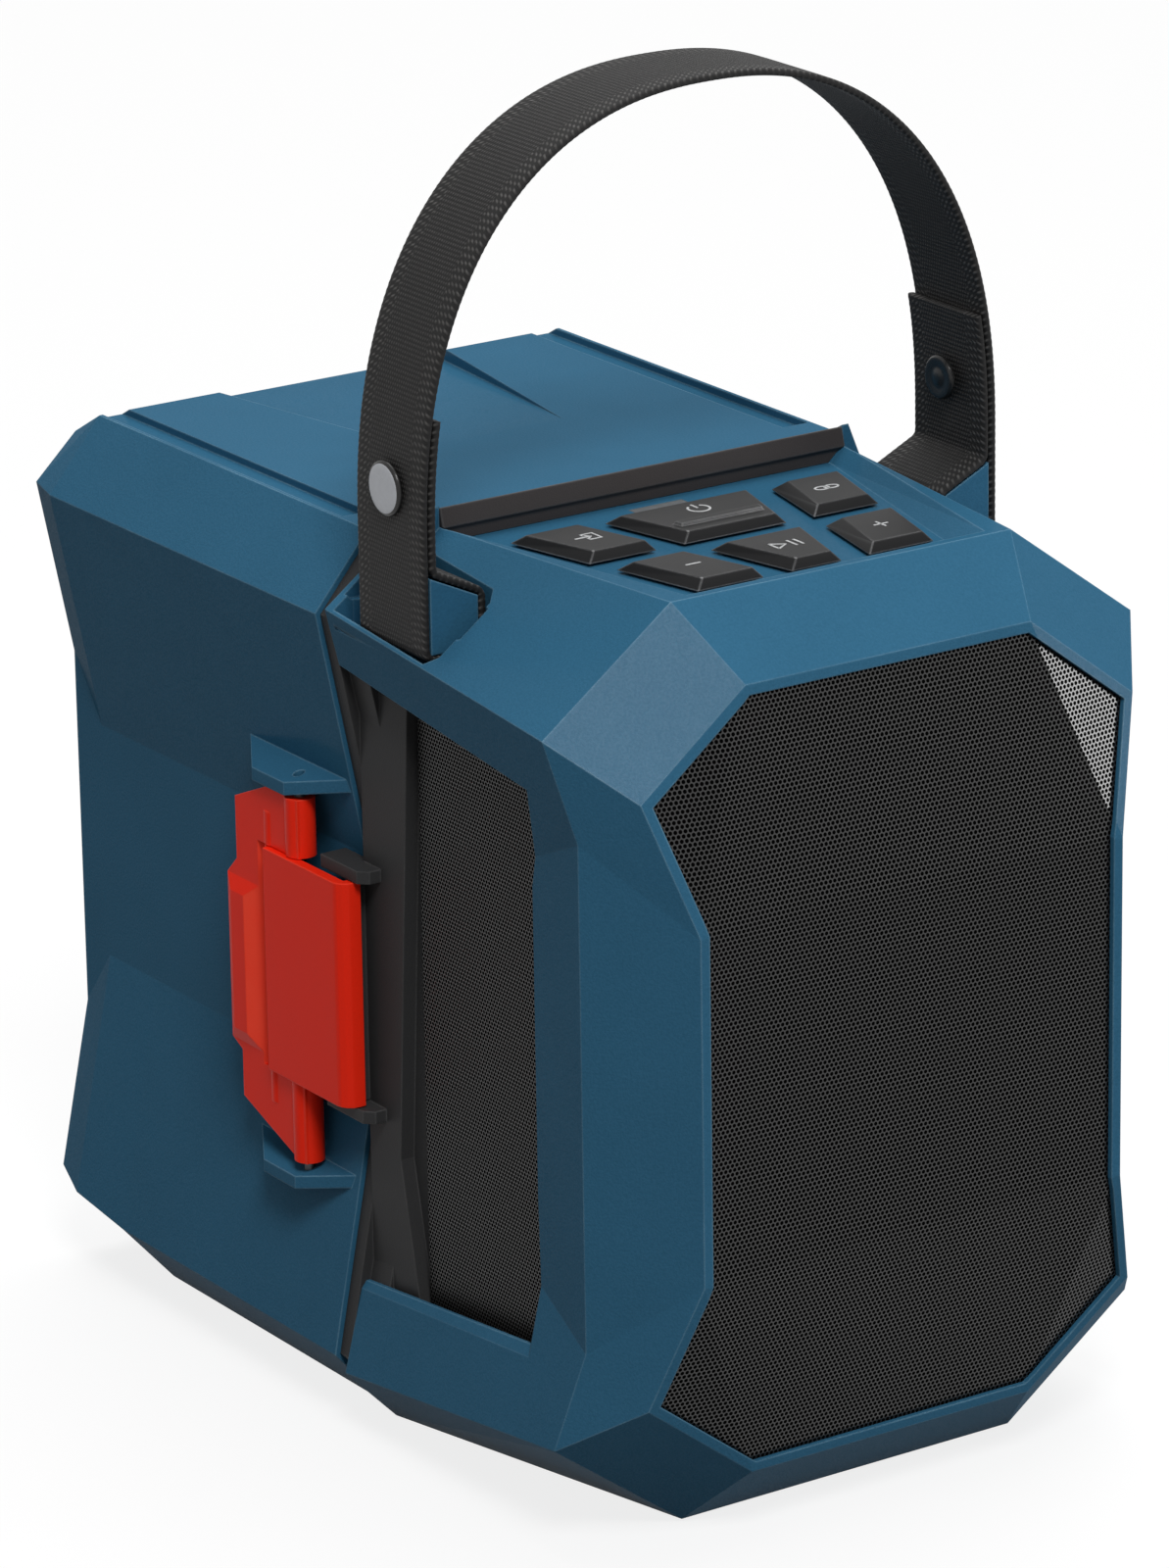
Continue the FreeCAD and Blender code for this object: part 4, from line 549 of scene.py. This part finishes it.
ink_sign("sign_minus", "key_minus", (-OUTER_COLUMN, FRONT_ROW), [[(-2.3, 0), (2.3, 0)]])
ink_sign("sign_plus", "key_plus", (OUTER_COLUMN, FRONT_ROW),
         [[(-2.3, 0), (2.3, 0)], [(0, -2.3), (0, 2.3)]])
ink_sign("sign_play", "key_play", (0.0, FRONT_ROW),
         [[(-4.4, -2.4), (-4.4, 2.4)], [(-4.4, 2.4), (-0.6, 0), (-4.4, -2.4)],
          [(1.3, -2.4), (1.3, 2.4)], [(3.4, -2.4), (3.4, 2.4)]])
ink_sign("sign_power", "key_power", (0.0, POWER_ROW),
         [turned(3.0, 3.0, 125, 415, 33), [(0, 0.6), (0, 3.9)]])
ink_sign("sign_link", "key_link", (REAR_COLUMN, REAR_ROW),
         [turned(2.1, 1.35, 0, 360, 29) + (-1.5, 0), turned(2.1, 1.35, 0, 360, 29) + (1.5, 0)])
ink_sign("sign_source", "key_source", (-REAR_COLUMN, REAR_ROW),
         [[(-0.4, 1.1), (-0.4, 2.4), (3.2, 2.4), (3.2, -2.4), (-0.4, -2.4), (-0.4, -1.1)],
          [(-3.6, 0), (1.3, 0)], [(0.1, 1.2), (1.4, 0), (0.1, -1.2)]])

# Status light
# A smoked lens bar let into the keypad floor behind the power key.
LENS_GREY = (0.17, 0.18, 0.19, 1)
LENS_WORN = (0.35, 0.36, 0.37, 1)
lens_plastic = moulded_plastic("lens_plastic", LENS_GREY, LENS_WORN, gloss=0.25, grain=700.0,
                               depth=0.00002, radius=0.0004, mottle=0.12, sheen=0.3)
finish_nodes(lens_plastic, "power_light")

# Webbing handle
# One flat woven nylon strap: down the outside of each leg, round the block in the pocket, and
# up behind itself as a tail, held by a press stud through both layers.
WEB_WIDE = 0.032
WEB_THICK = 0.0022
WEB_FRONT = 0.003
WEB_STEP = 0.00045
FACE_POINTS = 20
EDGE_POINTS = 6
RIB_PITCH = 0.00125
RIB_RELIEF = 0.00005
RIB_STOP = 0.0044
RIB_FADE = 0.0012
BEAD_PITCH = 0.0020
BEAD_RELIEF = 0.00007
BEAD_STOP = 0.0016
BEAD_FADE = 0.0008
BEAD_WIDE = 0.00175
BRAID_WIDE = 0.0064
BRAID_FADE = 0.0006
THREAD_PITCH = 0.00105
ARCH_HALF = 0.0924
ARCH_HIGH = 0.374
ARCH_SPRING = 0.263
ARCH_SQUARE = 2.3
ARCH_POINTS = 80
TAIL_HIGH = 0.295
TAIL_POINTS = 24
LAYER = 0.0025
LOOP_GAP = 0.0003
LOOP_RADII = (0.002, 0.002, 0.0032, 0.0032)
BLOCK = ((0.0899, 0.2536), (0.0753, 0.2467), (0.0753, 0.2329), (0.0899, 0.2329))
WEB_BLACK = (0.0085, 0.0082, 0.0082, 1)
# Painted highlight: greys for the crowns of the threads and the edge beads.
THREAD_HIGHLIGHT = (0.085, 0.083, 0.081, 1)
BEAD_HIGHLIGHT = (0.17, 0.165, 0.16, 1)


def squarish_arch(inset, first, last, count):
    """Half of a superellipse: x is the half width times the cosine to the power of two over the
    squareness, and z is the rise times the sine to the same power."""
    turn = np.linspace(first, last, count)
    power = 2 / ARCH_SQUARE
    across = np.sign(np.cos(turn)) * np.abs(np.cos(turn)) ** power * (ARCH_HALF - inset)
    up = ARCH_SPRING + (ARCH_HIGH - ARCH_SPRING - inset) * np.sin(turn) ** power
    return np.stack([across, up], axis=1)


def rounded_run(corners, radii, steps=7):
    """A run of straights whose corners are parabolas, each from one radius before the corner to
    one after."""
    corners = np.asarray(corners, dtype=float)
    run = [corners[:1]]
    for i, radius in enumerate(radii, 1):
        back = corners[i - 1] - corners[i]
        ahead = corners[i + 1] - corners[i]
        start = corners[i] + back / np.linalg.norm(back) * radius
        end = corners[i] + ahead / np.linalg.norm(ahead) * radius
        t = np.linspace(0, 1, steps)[:, None]
        run.append(start * (1 - t) ** 2 + 2 * corners[i] * t * (1 - t) + end * t ** 2)
    run.append(corners[-1:])
    return np.concatenate(run)


def evenly(points, step):
    """The same line with points at one even distance along it."""
    lengths = np.concatenate([[0], np.cumsum(np.linalg.norm(np.diff(points, axis=0), axis=1))])
    along = np.linspace(0, lengths[-1], int(lengths[-1] / step) + 1)
    return np.stack([np.interp(along, lengths, points[:, i]) for i in (0, 1)], axis=1), along


def webbing_line():
    """The strap's middle line from the front: tail, loop round the block, leg, arch, mirrored."""
    mid = WEB_THICK / 2
    out = LOOP_GAP + mid
    (outer, top), (inner, brow), (_, base), _ = BLOCK
    tail_x = ARCH_HALF - LAYER - mid
    outer_x = ARCH_HALF - mid
    inner_x = inner - out
    slope = (top - brow) / (outer - inner)
    rise = brow + math.hypot(1, slope) * out
    ledge = rise + slope * (inner_x - inner)
    shelf = rise + slope * (tail_x - inner)
    low = base - out
    share = (TAIL_HIGH - ARCH_SPRING) / (ARCH_HIGH - ARCH_SPRING - LAYER - mid)
    tail = squarish_arch(LAYER + mid, math.asin(share ** (ARCH_SQUARE / 2)), 0, TAIL_POINTS)
    loop = rounded_run([tail[-1], (tail_x, shelf), (inner_x, ledge), (inner_x, low), (outer_x, low),
                        (outer_x, ARCH_SPRING)], LOOP_RADII)
    arch = squarish_arch(mid, 0, math.pi / 2, ARCH_POINTS)
    half_line = np.concatenate([tail, loop[1:], arch[1:]])
    return np.concatenate([half_line, half_line[::-1][1:] * (-1, 1)])


def webbing_strip(name):
    """A flat ribbon: at each point of the line stands a section that is straight across and half
    round at its edges, moved out along the normal, plus a wave of ribs on its faces and a wave of
    beads on its edges. Its UV map is the way along and across in metres."""
    line, along = evenly(webbing_line(), WEB_STEP)
    runs = np.gradient(line, axis=0)
    runs /= np.linalg.norm(runs, axis=1)[:, None]
    normal = np.stack([-runs[:, 1], runs[:, 0]], axis=1)
    radius = WEB_THICK / 2
    flat = np.linspace(-1, 1, FACE_POINTS + 1)[:-1] * (WEB_WIDE / 2 - radius)
    bend = np.linspace(-np.pi / 2, np.pi / 2, EDGE_POINTS + 1)[:-1]
    nose = WEB_WIDE / 2 - radius + radius * np.cos(bend)
    face = np.full(FACE_POINTS, radius)
    across = np.concatenate([flat, nose, -flat, -nose])
    lift = np.concatenate([-face, radius * np.sin(bend), face, -radius * np.sin(bend)])
    ribless = np.clip((np.abs(across) - (WEB_WIDE / 2 - RIB_STOP)) / RIB_FADE, 0, 1)
    beaded = np.clip((np.abs(across) - (WEB_WIDE / 2 - BEAD_STOP)) / BEAD_FADE, 0, 1)
    rib = np.cos(2 * np.pi * along / RIB_PITCH)[:, None] * RIB_RELIEF * (1 - ribless)
    bead = np.cos(2 * np.pi * (along[:, None] + lift) / BEAD_PITCH) * BEAD_RELIEF * beaded
    outwards = lift * (1 - (RIB_RELIEF + BEAD_RELIEF) / radius) + np.sign(lift) * rib
    sideways = across * (1 - BEAD_RELIEF / WEB_WIDE * 2) + np.sign(across) * bead
    grid = np.zeros((len(line), len(across), 3))
    grid[:, :, 0] = line[:, 0:1] + normal[:, 0:1] * outwards
    grid[:, :, 1] = WEB_FRONT + WEB_WIDE / 2 + sideways
    grid[:, :, 2] = line[:, 1:2] + normal[:, 1:2] * outwards
    rows, columns = grid.shape[:2]
    first_end = list(range(columns))
    last_end = list(range((rows - 1) * columns, rows * columns))[::-1]
    mesh = bpy.data.meshes.new(name)
    mesh.from_pydata(grid.reshape(-1, 3), [], tube_faces(rows, columns) + [first_end, last_end])
    faced_out(mesh)
    corners = np.zeros(len(mesh.loops), dtype=np.int32)
    mesh.loops.foreach_get("vertex_index", corners)
    places = np.stack([np.repeat(along, columns), np.tile(across, rows)], axis=1)
    layer = mesh.uv_layers.new(name="weave")
    layer.data.foreach_set("uv", places[corners].astype(np.float32).ravel())
    mesh.shade_smooth()
    return mesh


def weave_group():
    """Webbing: a thread is a cosine along the strap times a cosine across it whose phase steps by
    half at each rib. Beads stand in columns along both edges, each column half a bead on from the
    next and rounded by a sine across it."""
    group, given, out = node_group(
        "webbing_weave",
        {"Along": "Float", "Across": "Float", "Rib Pitch": "Float", "Thread Pitch": "Float",
         "Bead Pitch": "Float", "Bead Wide": "Float", "Half Width": "Float"},
        {"Thread": "Float", "Bead": "Float", "Height": "Float"})

    def wave(turns):
        """The cosine of a number of whole turns."""
        return worked(group, "COSINE", worked(group, "MULTIPLY", turns, 2 * math.pi))

    rib = worked(group, "DIVIDE", given["Along"], given["Rib Pitch"])
    row = worked(group, "FLOOR", worked(group, "ADD", rib, 0.5))
    thread = worked(group, "ADD", worked(group, "DIVIDE", given["Across"], given["Thread Pitch"]),
                    worked(group, "MULTIPLY", row, 0.5))
    crown = worked(group, "MULTIPLY_ADD", wave(thread), 0.5, 0.5)
    ridge = worked(group, "MULTIPLY_ADD", wave(rib), 0.5, 0.5)
    inset = worked(group, "SUBTRACT", given["Half Width"], worked(group, "ABSOLUTE", given["Across"]))
    braided = ranged(group, inset, BRAID_WIDE, BRAID_WIDE - BRAID_FADE)
    column = worked(group, "DIVIDE", inset, given["Bead Wide"])
    shift = worked(group, "MULTIPLY", worked(group, "FLOOR", column), 0.5)
    slant = worked(group, "MULTIPLY_ADD", inset, 0.5, given["Along"])
    turns = worked(group, "ADD", worked(group, "DIVIDE", slant, given["Bead Pitch"]), shift)
    row_of_beads = worked(group, "MAXIMUM", wave(turns), 0.0)
    cord = worked(group, "SINE", worked(group, "MULTIPLY", worked(group, "FRACT", column), math.pi))
    bead = worked(group, "MULTIPLY", worked(group, "MULTIPLY", row_of_beads, cord), braided)
    plain = worked(group, "MULTIPLY", worked(group, "MULTIPLY", crown, ridge),
                   worked(group, "SUBTRACT", 1.0, braided))
    feed(group, out["Thread"], plain)
    feed(group, out["Bead"], bead)
    feed(group, out["Height"], worked(group, "ADD", plain, bead))
    return group


webbing, web_tree, web_shader = new_material("black_webbing")
web_map = add(web_tree, "UVMap")
web_map.uv_map = "weave"
web_axes = add(web_tree, "SeparateXYZ", Vector=web_map.outputs["UV"]).outputs
weave = web_tree.nodes.new("ShaderNodeGroup")
weave.node_tree = weave_group()
for label, value in (("Along", web_axes["X"]), ("Across", web_axes["Y"]), ("Rib Pitch", RIB_PITCH),
                     ("Thread Pitch", THREAD_PITCH), ("Bead Pitch", BEAD_PITCH),
                     ("Bead Wide", BEAD_WIDE), ("Half Width", WEB_WIDE / 2)):
    feed(web_tree, weave.inputs[label], value)
fluff = add(web_tree, "TexNoise", Vector=add(web_tree, "TexCoord").outputs["Object"], Scale=900.0)
# Painted highlight: the crowns of the weave's threads and beads are toned lighter than the black between
# them.
thread_highlight = worked(web_tree, "MULTIPLY", weave.outputs["Thread"], fluff.outputs["Fac"])
bead_highlight = worked(web_tree, "MULTIPLY", weave.outputs["Bead"], fluff.outputs["Fac"])
thread_highlight_tone = blended(web_tree, thread_highlight, WEB_BLACK, THREAD_HIGHLIGHT)
feed(web_tree, web_shader.inputs["Base Color"], blended(web_tree, bead_highlight, thread_highlight_tone, BEAD_HIGHLIGHT))
web_shader.inputs["Roughness"].default_value = 0.72
web_shader.inputs["Specular IOR Level"].default_value = 0.25
bumped(web_tree, web_shader, weave.outputs["Height"], 0.8, 0.00022)

strap_mesh = webbing_strip("webbing_strap")
strap_mesh.materials.append(webbing)
strap_piece = stand("webbing_strap", strap_mesh)
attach(strap_piece, "housing")
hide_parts("strap")

# Strap blocks
# A blue moulded block fills each loop of the webbing, on a round bar that runs back into the
# pocket's rear wall.
BAR_MIDDLE = (0.0796, 0.2402)
BAR_RADIUS = 0.0022
BAR_ENDS = (0.010, 0.0466)
BLOCK_ENDS = (0.0036, 0.0344)


def prism_mesh(name, parts):
    """Each outline of x and z stands twice, at its front and at its rear, with a wall between."""
    vertices = []
    faces = []
    for outline, ends in parts:
        count = len(outline)
        start = sum(len(block) for block in vertices)
        block = np.zeros((2, count, 3))
        block[:, :, 0::2] = outline
        block[:, :, 1] = np.array(ends)[:, None]
        vertices.append(block.reshape(-1, 3))
        front = np.arange(count) + start
        faces += tube_faces(2, count, start) + [front[::-1].tolist(), (front + count).tolist()]
    mesh = bpy.data.meshes.new(name)
    mesh.from_pydata(np.concatenate(vertices), [], faces)
    faced_out(mesh)
    return mesh


for side, label in ((-1, "left"), (1, "right")):
    round_bar = turned(BAR_RADIUS, BAR_RADIUS, 0, 345, 24) + BAR_MIDDLE
    parts = ((round_bar * (side, 1), BAR_ENDS), (np.array(BLOCK) * (side, 1), BLOCK_ENDS))
    bar_mesh = prism_mesh("strap_block_" + label, parts)
    bar_mesh.materials.append(blue_plastic)
    bar = stand("strap_block_" + label, bar_mesh)
    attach(bar, "housing")
    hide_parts("strap_bar_" + label)

# Press studs
# A pressed cap outside, a shank through both layers of webbing and a domed button inside. The
# left cap carries a pale satin disc in a black rim, and the right one is black all over.
STUD_Y = 0.019
STUD_Z = 0.275
STUD_POINTS = 48
STUD_MERGE = 0.000001
STUD_CREASE = 35
CAP_START = 0.0927
SHANK_START = 0.0849
BUTTON_START = 0.08525
CAP_PROFILE = ((0.0, 1.25), (4.5, 1.25), (6.6, 1.2), (7.15, 1.0), (7.4, 0.65), (7.45, 0.25),
               (7.3, 0.0), (0.0, 0.0))
DISC_PROFILE = ((0.0, 1.30), (5.0, 1.30), (6.35, 1.27), (6.6, 1.22), (6.6, 1.1), (0.0, 1.1))
SHANK_PROFILE = ((1.9, 0.0), (1.9, 8.2))
BUTTON_PROFILE = ((0.0, 1.35), (1.6, 1.33), (2.4, 1.05), (3.4, 1.0), (4.6, 1.3), (5.6, 1.2),
                  (6.1, 0.7), (6.2, 0.0), (0.0, 0.0))
DISC_GREY = (0.62, 0.64, 0.68, 1)
DISC_WORN = (0.8, 0.8, 0.8, 1)
CAP_BLACK = (0.012, 0.012, 0.012, 1)
CAP_WORN = (0.05, 0.05, 0.05, 1)


def stud_part(name, side, profile, start, outward, material):
    """A profile of radius and height in millimetres turned round the stud's axis: y and z are the
    radius times the cosine and the sine, and x goes outward from a start by the height."""
    radius, height = np.asarray(profile).T * MM
    turn = np.arange(STUD_POINTS) * 2 * np.pi / STUD_POINTS
    grid = np.zeros((len(radius), STUD_POINTS, 3))
    grid[:, :, 0] = side * (start + outward * height)[:, None]
    grid[:, :, 1] = STUD_Y + radius[:, None] * np.cos(turn)
    grid[:, :, 2] = STUD_Z + radius[:, None] * np.sin(turn)
    mesh = bpy.data.meshes.new(name)
    mesh.from_pydata(grid.reshape(-1, 3), [], tube_faces(len(radius), STUD_POINTS))
    faced_out(mesh, STUD_MERGE)
    mesh.shade_smooth()
    mesh.set_sharp_from_angle(angle=math.radians(STUD_CREASE))
    mesh.materials.append(material)
    part = stand(name, mesh)
    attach(part, "housing")
    return part


stud_grey = moulded_plastic("stud_grey", DISC_GREY, DISC_WORN, gloss=0.30, grain=900.0,
                            depth=0.00003, radius=0.0003, mottle=0.05, sheen=0.3)
stud_black = moulded_plastic("stud_black", CAP_BLACK, CAP_WORN, gloss=0.22, grain=900.0,
                             depth=0.00002, radius=0.0003, mottle=0.05, sheen=0.3)
for side, label, slot, disc in ((-1, "left", "stud_grey", stud_grey), (1, "right", "stud_black", stud_black)):
    cap = stud_part("stud_cap_" + label, side, CAP_PROFILE, CAP_START, 1, stud_black)
    stud_part("stud_disc_" + label, side, DISC_PROFILE, CAP_START, 1, disc)
    stud_part("stud_shank_" + label, side, SHANK_PROFILE, SHANK_START, 1, stud_black)
    stud_part("stud_button_" + label, side, BUTTON_PROFILE, BUTTON_START, -1, stud_black)
    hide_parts("snap_" + label)

# Rubber parts
# Base pad, cover feet, cover seal, keypad sheet and passive radiators: matt moulded rubber.
RUBBER_BLACK = (0.010, 0.010, 0.010, 1)
RUBBER_WORN = (0.03, 0.03, 0.03, 1)
rubber = moulded_plastic("rubber", RUBBER_BLACK, RUBBER_WORN, gloss=0.7, grain=900.0, depth=0.0001,
                         radius=0.0004, mottle=0.1, sheen=0.2)
finish_nodes(rubber, "base_pad", "rear_foot_left", "rear_foot_right", "cover_seal", "keypad_membrane",
             "side_radiator_left", "side_radiator_right")

# Steel and iron
# Blackened hinge and latch pins, bright screws and the folded shell of the charging socket, all
# drawn steel with streaks along the draw, and the magnet's plain iron.
STEEL_DULL = (0.32, 0.32, 0.33, 1)
STEEL_BRIGHT = (0.52, 0.52, 0.53, 1)
PIN_DULL = (0.05, 0.05, 0.052, 1)
PIN_BRIGHT = (0.10, 0.10, 0.105, 1)
DRAWN = (2600.0, 2600.0, 120.0)
IRON_DULL = (0.035, 0.034, 0.034, 1)
IRON_BRIGHT = (0.07, 0.068, 0.066, 1)
IRON_GRAIN = (300.0, 300.0, 300.0)


def streaked(name, dull, bright, gloss, metal, stretch):
    """A noise squeezed along the axes by a scale each gives streaks of tone, of roughness and of
    height."""
    material, tree, shader = new_material(name)
    shader.inputs["Metallic"].default_value = metal
    squeeze = add(tree, "Mapping", Vector=add(tree, "TexCoord").outputs["Object"], Scale=stretch)
    streak = add(tree, "TexNoise", Vector=squeeze.outputs["Vector"], Scale=1.0, Detail=4.0).outputs["Fac"]
    feed(tree, shader.inputs["Base Color"], toned(tree, streak, 0.3, dull, 0.7, bright))
    feed(tree, shader.inputs["Roughness"], ranged(tree, streak, 0.0, 1.0, gloss, gloss + 0.2))
    bumped(tree, shader, streak, 0.3, 0.00005)
    return material


steel = streaked("pin_steel", STEEL_DULL, STEEL_BRIGHT, 0.25, 1.0, DRAWN)
dark_steel = streaked("dark_pin_steel", PIN_DULL, PIN_BRIGHT, 0.35, 0.9, DRAWN)
iron = streaked("magnet_iron", IRON_DULL, IRON_BRIGHT, 0.55, 0.4, IRON_GRAIN)
finish_nodes(steel, "housing_screws", "usb_socket")
finish_nodes(dark_steel, "hinge_pin", "lever_pin", "bail_pin")
finish_nodes(iron, "woofer_magnet")

# Cone
# Pressed paper pulp, dyed dark, with long fibres in its face.
PAPER_DULL = (0.018, 0.018, 0.018, 1)
PAPER_BRIGHT = (0.045, 0.044, 0.043, 1)
PAPER_GRAIN = (500.0, 500.0, 500.0)
cone_paper = streaked("cone_paper", PAPER_DULL, PAPER_BRIGHT, 0.75, 0.0, PAPER_GRAIN)
finish_nodes(cone_paper, "woofer_cone")

# Circuit boards
# Glass-epoxy boards under green solder mask, whose weave shows as faint streaks.
MASK_DULL = (0.010, 0.075, 0.028, 1)
MASK_BRIGHT = (0.018, 0.12, 0.045, 1)
MASK_GRAIN = (420.0, 60.0, 420.0)
board = streaked("board_green", MASK_DULL, MASK_BRIGHT, 0.35, 0.0, MASK_GRAIN)
finish_nodes(board, "keypad_board", "amplifier_board")
